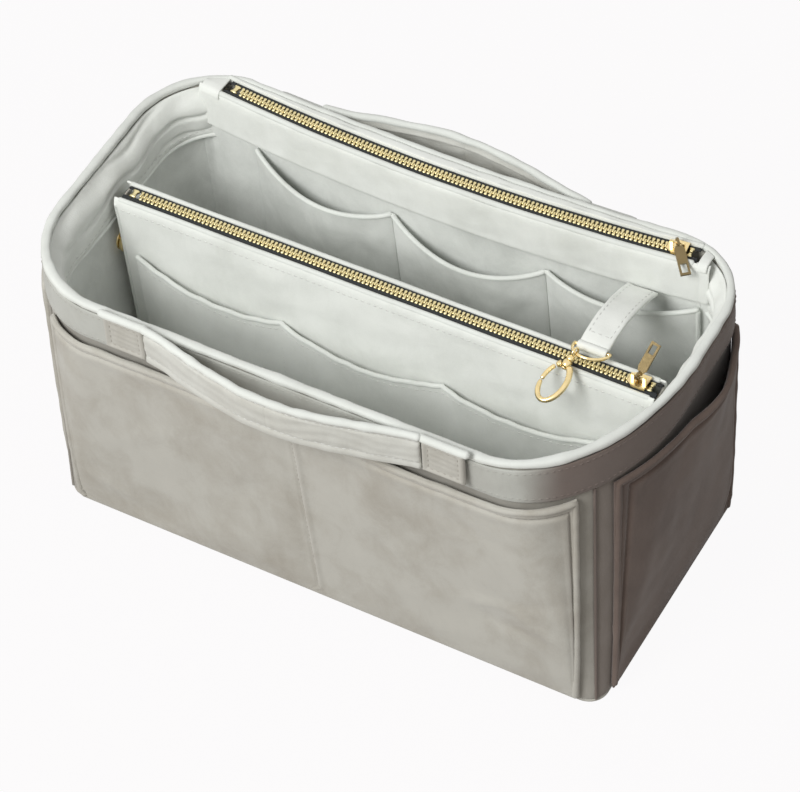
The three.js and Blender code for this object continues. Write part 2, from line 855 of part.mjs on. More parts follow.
// Pull: an eye round the slider's bar and a plate with an open window. It hangs towards -Y.
function pullPlate() {
  const ringSteps = 8;
  const ring = new THREE.Shape();
  ring.absarc(0, 0, pull.ringOuter, 0, 4 * quarter, false);
  const bore = new THREE.Path();
  bore.absarc(0, 0, pull.ringInner, 0, 4 * quarter, true);
  ring.holes.push(bore);
  const eye = extrude(ring, pull.ringThickness, ringSteps);
  eye.translate(0, 0, -pull.ringThickness / 2).rotateY(quarter);
  const side = pull.width / 2;
  const start = -(pull.ringInner + pull.ringOuter) / 2;
  const plate = shapeFrom([
    [-side * slider.noseShare, start],
    [-side, start * 2],
    [-side, -pull.length],
    [side, -pull.length],
    [side, start * 2],
    [side * slider.noseShare, start],
  ]);
  const windowSide = pull.windowWidth / 2;
  const windowFoot = pull.windowEnd - pull.length;
  plate.holes.push(
    new THREE.Path([
      new THREE.Vector2(-windowSide, windowFoot),
      new THREE.Vector2(windowSide, windowFoot),
      new THREE.Vector2(windowSide, windowFoot + pull.windowLength),
      new THREE.Vector2(-windowSide, windowFoot + pull.windowLength),
    ]),
  );
  const body = extrude(plate, pull.thickness).translate(0, 0, -pull.thickness / 2);
  return join(eye, body);
}

const stopRun = slider.length / 2 + seamGap + zip.stopLength;

function addZip(prefix, track, halfLength, sliderAt, level, slope, rearFalls) {
  const group = new THREE.Group();
  group.position.z = level;
  model.add(group);
  const chainEnd = sliderAt + stopRun;
  const chainStart = zip.bottomStopLength + seamGap - halfLength;
  const lastTooth = sliderAt + slider.postAhead - slider.postLength / 2 - zip.pitch / 2;
  const tapeEnd = chainEnd + zip.tapeTail;
  const tapeStart = -halfLength - zip.tapeTail;
  const hands = { front: -1, rear: 1 };
  for (const [name, hand] of Object.entries(hands)) {
    const tape = zipTape(track, tapeStart, tapeEnd, hand, hand < 0 || rearFalls);
    addMesh(`${prefix}_zip_tape_${name}`, tape, tapeSkin, group);
    const row = zipRow(track, chainStart, chainEnd, lastTooth, hand);
    addMesh(`${prefix}_zip_teeth_${name}`, row.translate(0, 0, -zip.thickness / 2), goldSkin, group);
  }
  const stopCentre = zip.bottomStopLength / 2 - halfLength;
  const [stopX, stopY] = track(stopCentre, 0);
  const stopWidth = 2 * (zip.beadOuter - seamGap / 2);
  const stop = new THREE.BoxGeometry(zip.bottomStopLength, stopWidth, zip.bottomStopHeight);
  const stopMesh = addMesh(`${prefix}_zip_bottom_stop`, stop, goldSkin, group);
  stopMesh.position.set(stopX, stopY, 0);
  stopMesh.rotation.z = slope(stopCentre);

  const carriage = new THREE.Group();
  const [sliderX, sliderY] = track(sliderAt, 0);
  carriage.position.set(sliderX, sliderY, 0);
  carriage.rotation.z = slope(sliderAt);
  group.add(carriage);
  addMesh(`${prefix}_zip_slider`, sliderBody(), goldSkin, carriage);
  return { group, sliderX, sliderY };
}

function addPull(name, group, x, y, tilt, turn) {
  const mesh = addMesh(name, pullPlate(), pullSkin, group);
  mesh.position.set(x, y, slider.barHeight);
  mesh.rotation.set(tilt, 0, turn, 'ZYX');
}

// The arc of the back zip: its centre of curvature lies far behind the box
const arcRadius = (backZipHalf ** 2 + backZip.sagitta ** 2) / (2 * backZip.sagitta);
const arcCentreY = backZip.middleY + arcRadius;

function arcTrack(along, offset) {
  const turn = along / arcRadius;
  const reach = arcRadius - offset;
  return [backZip.centreX + reach * Math.sin(turn), arcCentreY - reach * Math.cos(turn)];
}

function addBackZip() {
  const sliderAt = backZipHalf - backZip.sliderInset;
  const slope = (along) => along / arcRadius;
  const { group, sliderX, sliderY } = addZip(
    'back', arcTrack, backZipHalf, sliderAt, backZipLevel, slope, false,
  );
  addPull('back_zip_pull', group, sliderX, sliderY, radians(backZip.pullDrop), radians(backZip.pullSlew));
}

function straightTrack(along, offset) {
  return [along, offset];
}

function addPouchZip() {
  const sliderAt = pouchZipHalf - pouch.sliderInset;
  const { group, sliderX, sliderY } = addZip(
    'pouch', straightTrack, pouchZipHalf, sliderAt, pouchTop, () => 0, true,
  );
  const turn = radians(180 - pouch.pullSlew);
  addPull('pouch_zip_pull', group, sliderX, sliderY, -radians(pouch.pullRise), turn);
}

// Pouch body
const pouchNeck = pouchTop - pouch.neckDrop;

function pouchHalfLength(height) {
  const share = (height - pouch.bottom) / (pouchTop - pouch.bottom);
  const straight = lerp(pouchBottomHalf, pouchTopHalf, share);
  const into = Math.max(pouch.bottom + pouch.cornerRadius - height, 0);
  return straight - pouch.cornerRadius + Math.sqrt(pouch.cornerRadius ** 2 - into ** 2);
}

function pouchAway(lengthShare, height) {
  const up = (height - pouch.bottom) / (pouchNeck - pouch.bottom);
  const belly = Math.sin(Math.PI * lengthShare) ** 0.7 * Math.sin(Math.PI * up);
  return pouch.halfDepth + pouch.bulge * belly;
}

function pouchPanel(hand) {
  const columns = 10;
  const rowShares = [0, 0.025, 0.09, 0.35, 0.65, 0.9];
  const profileAt = (share) => {
    const body = rowShares.map((up) => {
      const height = lerp(pouch.bottom, pouchNeck, up);
      return [pouchAway(share, height), height];
    });
    const fold = foldOutline.slice(1).map(([away, rise]) => [away, pouchTop + rise]);
    return [...body, ...fold];
  };
  const rows = rowShares.length + foldOutline.length - 2;
  return sheet(columns, rows, (column, row, skin) => {
    const share = column / columns;
    const outer = profileAt(share);
    const [away, height] = skin === 0 ? outer[row] : offsetLine(outer, thinVelour - foldEase)[row];
    const x = lerp(-1, 1, share) * pouchHalfLength(outer[row][1]);
    return [x, hand * away, height];
  });
}

function addPouch() {
  addMesh('pouch_front_panel', pouchPanel(-1), velourSkin);
  addMesh('pouch_rear_panel', pouchPanel(1), velourSkin);

  const gussetTop = pouchNeck - pouch.gussetDrop;
  const inset = pouch.gussetInset;
  const cornerDrops = [1, 0.62, 0.3, 0.08, 0];
  const rightEdge = [
    [pouchHalfLength(gussetTop) - inset, gussetTop],
    ...cornerDrops.map((share) => {
      const height = pouch.bottom + pouch.cornerRadius * share;
      return [pouchHalfLength(height) - inset, height + (share === 0 ? inset : 0)];
    }),
  ];
  const outer = [...rightEdge, ...rightEdge.slice().reverse().map(([x, z]) => [-x, z])];
  const inner = offsetLine(outer, -thinVelour);
  const depth = 2 * (pouch.halfDepth - thinVelour - seamGap);
  const gusset = extrude(shapeFrom([...outer, ...inner.reverse()]), depth);
  addMesh('pouch_gusset', gusset.rotateX(quarter).translate(0, depth / 2, 0), velourSkin);

  // One pocket panel with three bays, drawn in at its seams
  const bayColumns = 8;
  const rows = 2;
  const columns = bayColumns * (pouch.pocketSeamShares.length - 1);
  const pocket = sheet(columns, rows, (column, row, skin) => {
    const bay = Math.min(Math.floor(column / bayColumns), pouch.pocketSeamShares.length - 2);
    const share = column / bayColumns - bay;
    const up = row / rows;
    const belly = Math.sin(Math.PI * share) ** 0.8;
    const edge = lerp(pouchPocketTops[bay], pouchPocketTops[bay + 1], share) - pouch.pocketDip * belly;
    const height = lerp(pouch.bottom + pouch.pocketFoot, edge, up);
    const across = lerp(pouch.pocketSeamShares[bay], pouch.pocketSeamShares[bay + 1], share);
    const x = across * pouchHalfLength(height);
    const lengthShare = (across + 1) / 2;
    const away = pouchAway(lengthShare, height) + pocketLift + pouch.pocketMouth * belly * up;
    return [x, -(away + skin * thinVelour), height];
  });
  addMesh('pouch_pocket_panel', pocket, velourSkin);
}

// Snaps through the end walls
function endFaceX(height, inset) {
  return plan(height / rimHeightMiddle).end - inset;
}

function lathe(profile, segments = 16) {
  const points = profile.map(([radius, along]) => new THREE.Vector2(radius, along));
  return new THREE.LatheGeometry(points, segments);
}

function addSnaps() {
  const capSpare = snap.capRadius * 0.75;
  const cap = () => lathe([
    [0, 0],
    [snap.capRadius, 0],
    [snap.capRadius, snap.capHeight * 0.3],
    [capSpare, snap.capHeight * 0.75],
    [snap.capRadius / 3, snap.capHeight],
    [0, snap.capHeight],
  ]);
  const stud = () => lathe([
    [0, 0],
    [snap.studRadius, 0],
    [snap.studRadius, snap.studPlate],
    [snap.postRadius, snap.studPlate],
    [snap.postRadius, snap.studPlate + snap.postLength],
    [0, snap.studPlate + snap.postLength],
  ]);
  const socket = () => lathe([
    [0, 0],
    [snap.socketRadius, 0],
    [snap.socketRadius, snap.socketThickness],
    [snap.recessRadius, snap.socketThickness],
    [snap.recessRadius, snap.socketThickness - snap.recessDepth],
    [0, snap.socketThickness - snap.recessDepth],
  ]);
  const bothWays = (radius) => [snapLevel - radius, snapLevel + radius];
  for (const [name, hand] of [['left', -1], ['right', 1]]) {
    const place = (mesh, x, outward) => {
      mesh.position.set(hand * x, 0, snapLevel);
      mesh.rotation.z = -hand * outward * quarter;
    };
    const capX = Math.max(...bothWays(snap.capRadius).map((height) => endFaceX(height, 0))) + seamGap;
    place(addMesh(`snap_cap_${name}`, cap(), goldSkin), capX, 1);
    const studX = Math.min(...bothWays(snap.studRadius).map((height) => endFaceX(height, liningFace))) - seamGap;
    place(addMesh(`snap_stud_${name}`, stud(), goldSkin), studX, -1);
    const socketX = Math.max(...bothWays(snap.socketRadius).map(pouchHalfLength)) + seamGap;
    place(addMesh(`pouch_snap_socket_${name}`, socket(), goldSkin), socketX, 1);
  }
}

// Handles: each strap hangs between two sewn tabs and bows away from the box
const handleSeat = bandFace - 2 * seamGap;

function handlePiece(fromX, toX, columns, top, depth, thickness, bow, hand) {
  return sheet(columns, 1, (column, row, skin) => {
    const share = column / columns;
    const x = lerp(fromX, toX, share);
    const height = top - (row === 0 ? depth : 0);
    const seat = hand < 0
      ? plan(Math.min(top, rimHeightFront) / rimHeightFront).front
      : backFaceY(x, Math.min(top, rimHeightBack), 0);
    const away = seat - handleSeat + bow * Math.sin(Math.PI * share) ** 1.3 + skin * thickness;
    return [x, hand * away, height];
  });
}

function addHandles() {
  for (const [name, hand, rim] of [['front', -1, rimHeightFront], ['back', 1, rimHeightBack]]) {
    const drop = hand > 0 ? handle.backDrop : 0;
    const top = rim + handle.riseOverRim - drop;
    const inner = handle.tabInner;
    const outer = handle.tabInner + handle.tabWidth;
    const tabTop = top - handle.tabDrop;
    const tab = (from, to) => handlePiece(
      handle.centreX + from, handle.centreX + to, 3, tabTop, handle.strapWidth - handle.tabDrop,
      handle.tabThickness, 0, hand,
    );
    addMesh(`${name}_handle_tab_left`, tab(-outer, -inner), velourSkin);
    addMesh(`${name}_handle_tab_right`, tab(inner, outer), velourSkin);
    const end = inner - seamGap;
    const strap = handlePiece(
      handle.centreX - end, handle.centreX + end, 14, top, handle.strapWidth,
      handle.strapThickness, handle.bow, hand,
    );
    addMesh(`${name}_handle_strap`, strap, velourSkin);
  }
}

// Wire bent in a plane, closed into a loop or with flat ends
function bentWire(line, radius, wireSides, closed) {
  const points = [];
  const count = line.length;
  line.forEach(([x, y], k) => {
    const before = line[closed ? (k + count - 1) % count : Math.max(k - 1, 0)];
    const after = line[closed ? (k + 1) % count : Math.min(k + 1, count - 1)];
    const along = new THREE.Vector2(after[0] - before[0], after[1] - before[1]).normalize();
    for (let side = 0; side < wireSides; side += 1) {
      const turn = ((side + half) / wireSides) * 4 * quarter;
      const out = radius * Math.cos(turn);
      points.push(new THREE.Vector3(x - along.y * out, y + along.x * out, radius * Math.sin(turn)));
    }
  });
  const triangles = [];
  const index = (k, side) => (k % count) * wireSides + (side % wireSides);
  const runs = closed ? count : count - 1;
  for (let k = 0; k < runs; k += 1) {
    for (let side = 0; side < wireSides; side += 1) {
      triangles.push([index(k, side), index(k, side + 1), index(k + 1, side + 1)]);
      triangles.push([index(k, side), index(k + 1, side + 1), index(k + 1, side)]);
    }
  }
  if (!closed) {
    for (let side = 1; side < wireSides - 1; side += 1) {
      triangles.push([index(0, 0), index(0, side + 1), index(0, side)]);
      triangles.push([index(count - 1, 0), index(count - 1, side), index(count - 1, side + 1)]);
    }
  }
  return closedGeometry(points, triangles);
}

function arcPoints(count, at) {
  return Array.from({ length: count + 1 }, (_, k) => at(k / count));
}

// Key strap: a band with a sewn loop at its end, which the D ring's bar runs through
function addKeyStrap() {
  const routeShares = [
    [0, 0],
    [0.15, 0.45],
    [0.37, 0.9],
    [0.63, 1.2],
    [0.86, 1.16],
    [0.97, 1],
  ];
  const route = routeShares.map(([reach, rise]) => [-reach * keyStrap.reach, rise * keyStrap.rise]);
  const upper = offsetLine(route, -keyStrap.thickness / 2);
  const lower = offsetLine(route, keyStrap.thickness / 2);
  const band = extrude(shapeFrom([...upper, ...lower.reverse()]), keyStrap.width);
  const loop = new THREE.Shape();
  loop.absarc(-keyStrap.reach, keyStrap.rise, keyStrap.loopOuter, 0, 4 * quarter, false);
  const loopDepth = extrude(loop, keyStrap.width, 3);
  const bore = new THREE.Shape();
  bore.absarc(-keyStrap.reach, keyStrap.rise, keyStrap.loopInner, 0, 4 * quarter, false);
  const cut = extrude(bore, keyStrap.width + 2 * overrun, 3).translate(0, 0, -overrun);
  const strap = fromSolid(toSolid(band).add(toSolid(loopDepth)).subtract(toSolid(cut)));
  strap.rotateX(quarter).rotateZ(quarter).translate(-keyStrap.width / 2, 0, 0);
  const mesh = addMesh('key_strap', strap, velourSkin);
  mesh.position.set(keyStrap.centreX, keyRootY, keyRootZ);
}

const ringY = keyRootY - keyStrap.reach;
const ringZ = keyRootZ + keyStrap.rise;

function addKeyRing() {
  const halfWidth = keyRing.innerWidth / 2 + keyRing.wire;
  const bend = arcPoints(16, (share) => {
    const turn = share * 2 * quarter;
    return [halfWidth * Math.cos(turn), -keyRing.reach * Math.sin(turn)];
  });
  const bar = [[-halfWidth / 2, 0], [halfWidth / 2, 0]];
  const mesh = addMesh('key_ring', bentWire([...bend, ...bar], keyRing.wire, 6, true), goldSkin);
  mesh.position.set(keyStrap.centreX, ringY, ringZ);
  mesh.rotation.x = -radians(keyRing.tilt);
}

const swivelSpot = (() => {
  const halfWidth = keyRing.innerWidth / 2 + keyRing.wire;
  const away = keyRing.reach * Math.sqrt(1 - (swivel.offsetX / halfWidth) ** 2);
  const tilt = radians(keyRing.tilt);
  return new THREE.Vector3(
    keyStrap.centreX + swivel.offsetX,
    ringY - away * Math.cos(tilt),
    ringZ + away * Math.sin(tilt),
  );
})();

// Swivel and clasp lie along -Y of their own group
function addClasp() {
  const group = new THREE.Group();
  group.position.copy(swivelSpot);
  group.rotation.set(radians(clasp.slope), 0, -radians(clasp.slew), 'ZYX');
  model.add(group);

  const eyeOuter = swivel.eyeRadius + swivel.eyeWire;
  const eyeLine = arcPoints(11, (share) => {
    const turn = share * (11 / 12) * 4 * quarter;
    return [swivel.eyeRadius * Math.cos(turn), swivel.eyeRadius * Math.sin(turn)];
  });
  const eye = bentWire(eyeLine, swivel.eyeWire, 6, true).rotateY(quarter);
  const collarStart = eyeOuter - swivel.eyeWire;
  const collarEnd = collarStart + swivel.collarLength;
  const hubStart = collarEnd + seamGap;
  const hubEnd = hubStart + clasp.hubLength;
  const headStart = hubEnd + seamGap;
  const stem = lathe([
    [0, collarStart],
    [swivel.collarRadius, collarStart],
    [swivel.collarRadius, collarEnd],
    [swivel.stemRadius, collarEnd],
    [swivel.stemRadius, headStart],
    [swivel.headRadius, headStart],
    [swivel.headRadius, headStart + swivel.headLength],
    [0, headStart + swivel.headLength],
  ], 12).rotateX(2 * quarter);
  addMesh('swivel', join(eye, stem), goldSkin, group);

  const hub = lathe([
    [clasp.hubBore, hubStart],
    [clasp.hubRadius, hubStart],
    [clasp.hubRadius, hubEnd],
    [clasp.hubBore, hubEnd],
    [clasp.hubBore, hubStart],
  ], 12).rotateX(2 * quarter);
  const across = clasp.width / 2 - clasp.wire;
  const along = clasp.length / 2 - clasp.wire;
  const onOval = (degrees) => {
    const turn = radians(degrees);
    return [across * Math.sin(turn), -clasp.ovalTop - along + along * Math.cos(turn)];
  };
  const tipTurn = fullTurn - clasp.tipStart;
  const hook = bentWire(
    arcPoints(16, (share) => onOval(lerp(clasp.hookStart, tipTurn, share))), clasp.wire, 8, false,
  );
  const lug = bentWire(
    arcPoints(2, (share) => onOval(-lerp(clasp.hookStart, clasp.lugEnd, share))), clasp.wire, 8, false,
  );
  addMesh('clasp_hook', join(hub, hook, lug), goldSkin, group);
  const gate = bentWire(
    arcPoints(6, (share) => onOval(-lerp(clasp.gateStart, clasp.gateEnd, share))), clasp.gateWire, 8, false,
  );
  addMesh('clasp_gate', gate, goldSkin, group);
}

addFloor();
addWalls();
addLining();
addRimBand();
addRoll();
addInnerFacing();
addOuterPockets();
addZipPocket();
addZipRearStrip();
addSlipPockets();
addBackZip();
addPouchZip();
addPouch();
addSnaps();
addHandles();
addKeyStrap();
addKeyRing();
addClasp();

export default model;
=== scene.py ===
import json
import math

import bmesh
import bpy
import numpy as np
from mathutils import Matrix


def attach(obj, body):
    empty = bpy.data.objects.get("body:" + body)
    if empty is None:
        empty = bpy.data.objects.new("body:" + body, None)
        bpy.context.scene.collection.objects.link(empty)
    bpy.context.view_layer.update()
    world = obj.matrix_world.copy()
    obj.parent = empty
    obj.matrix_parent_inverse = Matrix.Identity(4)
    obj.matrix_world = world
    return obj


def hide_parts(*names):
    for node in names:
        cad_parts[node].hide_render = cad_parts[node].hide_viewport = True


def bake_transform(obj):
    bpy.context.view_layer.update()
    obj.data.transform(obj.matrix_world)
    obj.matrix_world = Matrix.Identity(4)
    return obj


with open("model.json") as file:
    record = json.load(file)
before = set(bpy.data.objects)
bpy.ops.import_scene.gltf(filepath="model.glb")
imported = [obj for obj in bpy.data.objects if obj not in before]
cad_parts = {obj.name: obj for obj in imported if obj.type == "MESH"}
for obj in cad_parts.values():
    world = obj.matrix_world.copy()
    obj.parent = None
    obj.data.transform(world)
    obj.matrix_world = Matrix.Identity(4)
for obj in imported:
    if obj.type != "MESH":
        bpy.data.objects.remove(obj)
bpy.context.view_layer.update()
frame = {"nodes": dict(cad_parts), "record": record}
nodes = frame["nodes"]

# Everything below is in millimetres until a mesh is made. X runs along the long side, Y from front
# to back and Z up, from the centre of the base, as in the solids.
MM = 0.001
QUARTER = math.pi / 2
FULL_TURN = 2 * math.pi

# Box
BASE_LENGTH, BASE_DEPTH, BASE_CORNER = 300.0, 148.0, 10.0
RIM_LENGTH, RIM_FRONT, RIM_BACK = 315.0, 82.5, 77.5
RIM_HEIGHT_FRONT, RIM_HEIGHT_BACK = 165.0, 168.0
BACK_BOW = 3.5
RIM_CORNERS = {"fr": (62, 95), "br": (36, 38), "bl": (42, 46), "fl": (50, 52)}
STRETCHES = 8
SIDES = {"front": (-0.5, 1.5), "right": (1.5, 3.5), "back": (3.5, 5.5), "left": (5.5, 7.5)}

# Cloth
GAP = 0.3
VELOUR, THIN, FELT, BOARD = 1.6, 1.2, 2.4, 2.5
LINING_INSET = VELOUR + GAP + FELT + GAP
LINING_FACE = LINING_INSET + THIN
FACING_INSET = LINING_FACE + GAP
LINING_FOOT = VELOUR + GAP + BOARD + GAP
WALL_FOOT = VELOUR + GAP
ROLL, BAND, FACING, LINING_DROP = 4.0, 25.0, 34.0, 15.0
POCKET_DROP, POCKET_MARGIN, POCKET_LIFT, POCKET_FOOT = 27.0, 9.0, 0.7, 3.0


def lerp(a, b, t):
    return a + (b - a) * t


def smooth(t):
    t = np.clip(t, 0, 1)
    return t * t * (3 - 2 * t)


def hill(place, middle, width):
    return np.exp(-(((place - middle) / width) ** 2))


def inward(share):
    """How far a share is from the nearer end"""
    return np.minimum(share, 1 - share)


def arch(share, power):
    return np.clip(np.sin(math.pi * np.clip(share, 0, 1)), 0, 1) ** power


def unit(vectors):
    return vectors / np.maximum(np.linalg.norm(vectors, axis=-1, keepdims=True), 1e-9)


def running_length(line):
    return np.concatenate([[0], np.cumsum(np.linalg.norm(np.diff(line, axis=0), axis=1))])


def sample(line, lengths, where):
    return np.stack([np.interp(where, lengths, column) for column in line.T], -1)


def profile_point(profile, v):
    lengths = running_length(profile)
    return [np.interp(v * lengths[-1], lengths, profile[:, k]) for k in (0, 1)]


# Outline of the box, as in the solids: a station counts the eight stretches of the outline
def rim_height(station):
    turn = np.mod(station, STRETCHES)
    to_back = np.clip((turn - 1) / 2, 0, 1) - np.clip((turn - 5) / 2, 0, 1)
    return lerp(RIM_HEIGHT_FRONT, RIM_HEIGHT_BACK, to_back)


def plan(rise):
    size = {
        "end": lerp(BASE_LENGTH, RIM_LENGTH, rise) / 2,
        "front": lerp(BASE_DEPTH / 2, RIM_FRONT, rise),
        "back": lerp(BASE_DEPTH / 2, RIM_BACK, rise),
        "bow": lerp(0, BACK_BOW, rise),
    }
    for key, (across, deep) in RIM_CORNERS.items():
        size[key] = (lerp(BASE_CORNER, across, rise), lerp(BASE_CORNER, deep, rise))
    return size


def shell(station, height, inset):
    """Points on the wall, at a station, a height and a distance in from its outer face"""
    station, height, inset = np.broadcast_arrays(
        np.asarray(station, float), np.asarray(height, float), np.asarray(inset, float)
    )
    turn = np.mod(station, STRETCHES)
    part = np.floor(turn).astype(int)
    share = turn - part
    s = plan(height / rim_height(turn))
    (fa, fd), (ra, rd), (la, ld), (ga, gd) = s["fr"], s["br"], s["bl"], s["fl"]
    end, front, back, bow = s["end"], s["front"], s["back"], s["bow"]

    def corner(cx, cy, across, deep, start):
        angle = (start + share) * QUARTER
        return cx + (across - inset) * np.cos(angle), cy + (deep - inset) * np.sin(angle)

    spots = [
        (lerp(ga - end, end - fa, share), inset - front),
        corner(end - fa, fd - front, fa, fd, -1),
        (end - inset, lerp(fd - front, back - rd, share)),
        corner(end - ra, back - rd, ra, rd, 0),
        (lerp(end - ra, la - end, share), back - bow * 4 * share * (1 - share) - inset),
        corner(la - end, back - ld, la, ld, 1),
        (inset - end, lerp(back - ld, gd - front, share)),
        corner(ga - end, gd - front, ga, gd, 2),
    ]
    picks = [part == k for k in range(STRETCHES)]
    x, y = (np.select(picks, [spot[k] for spot in spots]) for k in (0, 1))
    return np.stack([x, y, height], -1)


def stretch_length(part, height):
    stops = [shell(part + f, height, 0)[..., :2] for f in (0, 0.5, 1 - 1e-6)]
    return sum(np.linalg.norm(b - a, axis=-1) for a, b in zip(stops, stops[1:]))


def station_from(corner_middle, distance, direction, height):
    """The station at a distance along the wall from the middle of a corner"""
    half_corner = stretch_length((corner_middle - 0.5) % STRETCHES, height) / 2
    straight = (corner_middle - 0.5 + direction) % STRETCHES
    beyond = (distance - half_corner) / stretch_length(straight, height)
    near = corner_middle + direction * 0.5 * distance / half_corner
    return np.where(distance < half_corner, near, corner_middle + direction * (0.5 + beyond))


def side_stations(side, height, margin):
    first, last = SIDES[side]
    return station_from(first, margin, 1, height), station_from(last, margin, -1, height)


def back_face_y(x, height, inset):
    s = plan(height / RIM_HEIGHT_BACK)
    (ra, rd), (la, ld) = s["br"], s["bl"]
    right_end, left_end = s["end"] - ra, la - s["end"]
    share = (x - left_end) / (right_end - left_end)
    flat = s["back"] - s["bow"] * 4 * share * (1 - share) - inset
    past_r = np.clip((x - right_end) / (ra - inset), 0, 1)
    past_l = np.clip((left_end - x) / (la - inset), 0, 1)
    y_right = s["back"] - rd + (rd - inset) * np.sqrt(1 - past_r ** 2)
    y_left = s["back"] - ld + (ld - inset) * np.sqrt(1 - past_l ** 2)
    return np.where(x > right_end, y_right, np.where(x < left_end, y_left, flat))


def ripple(points, size, seed, stretch=(1, 1, 1)):
    """Soft waves from a seeded set of plane waves, about one unit high"""
    rng = np.random.default_rng(seed)
    total = np.zeros(points.shape[:-1])
    scaled = points / np.array(stretch, float)
    count = 9
    for _ in range(count):
        direction = rng.normal(size=3)
        direction /= np.linalg.norm(direction)
        wavelength = size * rng.uniform(0.7, 1.6)
        phase = rng.uniform(0, FULL_TURN)
        total += np.sin(scaled @ direction * (FULL_TURN / wavelength) + phase)
    return total / math.sqrt(count / 2)


def waves(points, *rows):
    """Several ripples added up, each given as its height, size, seed and stretch"""
    return sum(height * ripple(points, *row) for height, *row in rows)


def fold_line(points, start, end, width, height):
    """A soft crease along a straight line, as heights at the points near it"""
    start, end = np.array(start, float), np.array(end, float)
    along = end - start
    share = np.clip(((points - start) @ along) / (along @ along), 0, 1)
    distance = np.linalg.norm(points - (start + share[..., None] * along), axis=-1)
    fade = np.clip(np.sin(math.pi * np.clip(share, 0.02, 0.98)), 0, 1) ** 0.5
    return height * fade * hill(distance, 0, width)


# Meshes
def add_piece(name, points, faces, material, body="box", replaced=None):
    """A closed mesh that rides a body, and may stand for a solid"""
    mesh = bpy.data.meshes.new(name)
    mesh.from_pydata((np.asarray(points, float) * MM).tolist(), [], faces)
    mesh.materials.append(material)
    work = bmesh.new()
    work.from_mesh(mesh)
    bmesh.ops.recalc_face_normals(work, faces=work.faces)
    # That can turn a thin curved sheet inside out
    if work.calc_volume(signed=True) < 0:
        bmesh.ops.reverse_faces(work, faces=work.faces)
    work.to_mesh(mesh)
    work.free()
    mesh.polygons.foreach_set("use_smooth", np.ones(len(mesh.polygons), bool))
    piece = bpy.data.objects.new(name, mesh)
    bpy.context.scene.collection.objects.link(piece)
    if body:
        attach(piece, body)
    if replaced:
        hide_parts(replaced)
    return piece


def add_parts(name, parts, material, body="box", replaced=None):
    """One piece from several pairs of points and faces"""
    faces, offset = [], 0
    for part_points, part_faces in parts:
        faces += [[v + offset for v in face] for face in part_faces]
        offset += len(part_points)
    return add_piece(name, np.concatenate([points for points, _ in parts]), faces, material, body, replaced)


def ring_faces(count, sides, closed=False):
    """Faces over points that lie in rings, one ring after another"""
    index = np.arange(count * sides).reshape(count, sides)
    ahead = np.roll(index, -1, 0)
    faces = np.stack([index, ahead, np.roll(ahead, -1, 1), np.roll(index, -1, 1)], -1)
    if closed:
        return faces.reshape(-1, 4).tolist()
    return faces[:-1].reshape(-1, 4).tolist() + [index[0, ::-1].tolist(), index[-1].tolist()]


def soft_square(sides, power, start=0.0):
    """Cosines and sines round a ring that is squarer than a circle"""
    turns = (np.arange(sides) + start) / sides * FULL_TURN
    return [np.copysign(np.abs(wave) ** power, wave) for wave in (np.cos(turns), np.sin(turns))]


class Cloth:
    """base(u, v) gives points of the cloth's middle, and side says which way its face looks"""

    def __init__(self, base, side=1, crease=None):
        self.base, self.side, self.crease = base, side, crease

    def at(self, u, v):
        u, v = np.broadcast_arrays(np.asarray(u, float), np.asarray(v, float))
        step = 1e-3
        here = self.base(u, v)
        du = self.base(u + step, v) - self.base(u - step, v)
        dv = self.base(u, v + step) - self.base(u, v - step)
        normal = unit(np.cross(du, dv)) * self.side
        if self.crease is not None:
            here = here + normal * self.crease(u, v, here)[..., None]
        return here, normal


def spaced(length, step, edge):
    """Shares of a length, about a step apart, with extra ones near both ends for a rounded edge"""
    count = max(int(round(length / step)), 2)
    near = np.array([0, 0.12, 0.4, 1.0]) * edge / length
    inside = np.linspace(0, 1, count + 1)
    inside = inside[inward(inside) > near[-1] * 1.6]
    return np.concatenate([near, inside, 1 - near[::-1]])


def groove_lines(shares, spots, length, reach=1.6):
    """Adds finer steps of a grid where a groove or seam crosses it, at distances along a length"""
    for spot in spots:
        outside = np.abs(shares * length - spot) > reach * 1.3
        shares = np.concatenate([shares[outside], (spot + np.linspace(-reach, reach, 7)) / length])
    return np.unique(np.clip(shares, 0, 1))


def cloth_sheet(name, cloth, lengths, half, material, step=4.0, loop=False, body="box", replaced=None,
                seams_u=(), seams_v=(), step_v=None):
    """A closed sheet with rounded edges, twice as thick as its half thickness"""
    long_side, short_side = lengths
    if loop:
        us = np.linspace(0, 1, int(round(long_side / step)), endpoint=False)
    else:
        us = spaced(long_side, step, half)
    us = groove_lines(us, seams_u, long_side)
    vs = groove_lines(spaced(short_side, step_v or step, half), seams_v, short_side)
    grid_u, grid_v = np.meshgrid(us, vs, indexing="ij")
    middle, normal = cloth.at(grid_u, grid_v)
    edge = inward(grid_v) * short_side
    if not loop:
        edge = np.minimum(edge, inward(grid_u) * long_side)
    thick = half * np.sqrt(np.clip(1 - (1 - np.clip(edge / half, 0, 1)) ** 2, 0, 1))
    lift = normal * thick[..., None]
    points = np.concatenate([(middle + lift).reshape(-1, 3), (middle - lift).reshape(-1, 3)])
    index = np.arange(grid_u.size).reshape(grid_u.shape)
    # The outermost row of both skins is the same line
    border = np.zeros(grid_u.shape, bool)
    border[:, [0, -1]] = True
    if not loop:
        border[[0, -1], :] = True

    def skin(grid):
        ahead = np.roll(grid, -1, 0)
        if not loop:
            grid, ahead = grid[:-1], ahead[:-1]
        return np.stack([grid[:, :-1], ahead[:, :-1], ahead[:, 1:], grid[:, 1:]], -1).reshape(-1, 4)

    faces = np.concatenate([skin(index), skin(np.where(border, index, index + index.size))[:, ::-1]])
    used, faces = np.unique(faces, return_inverse=True)
    return add_piece(name, points[used], faces.reshape(-1, 4).tolist(), material, body, replaced)


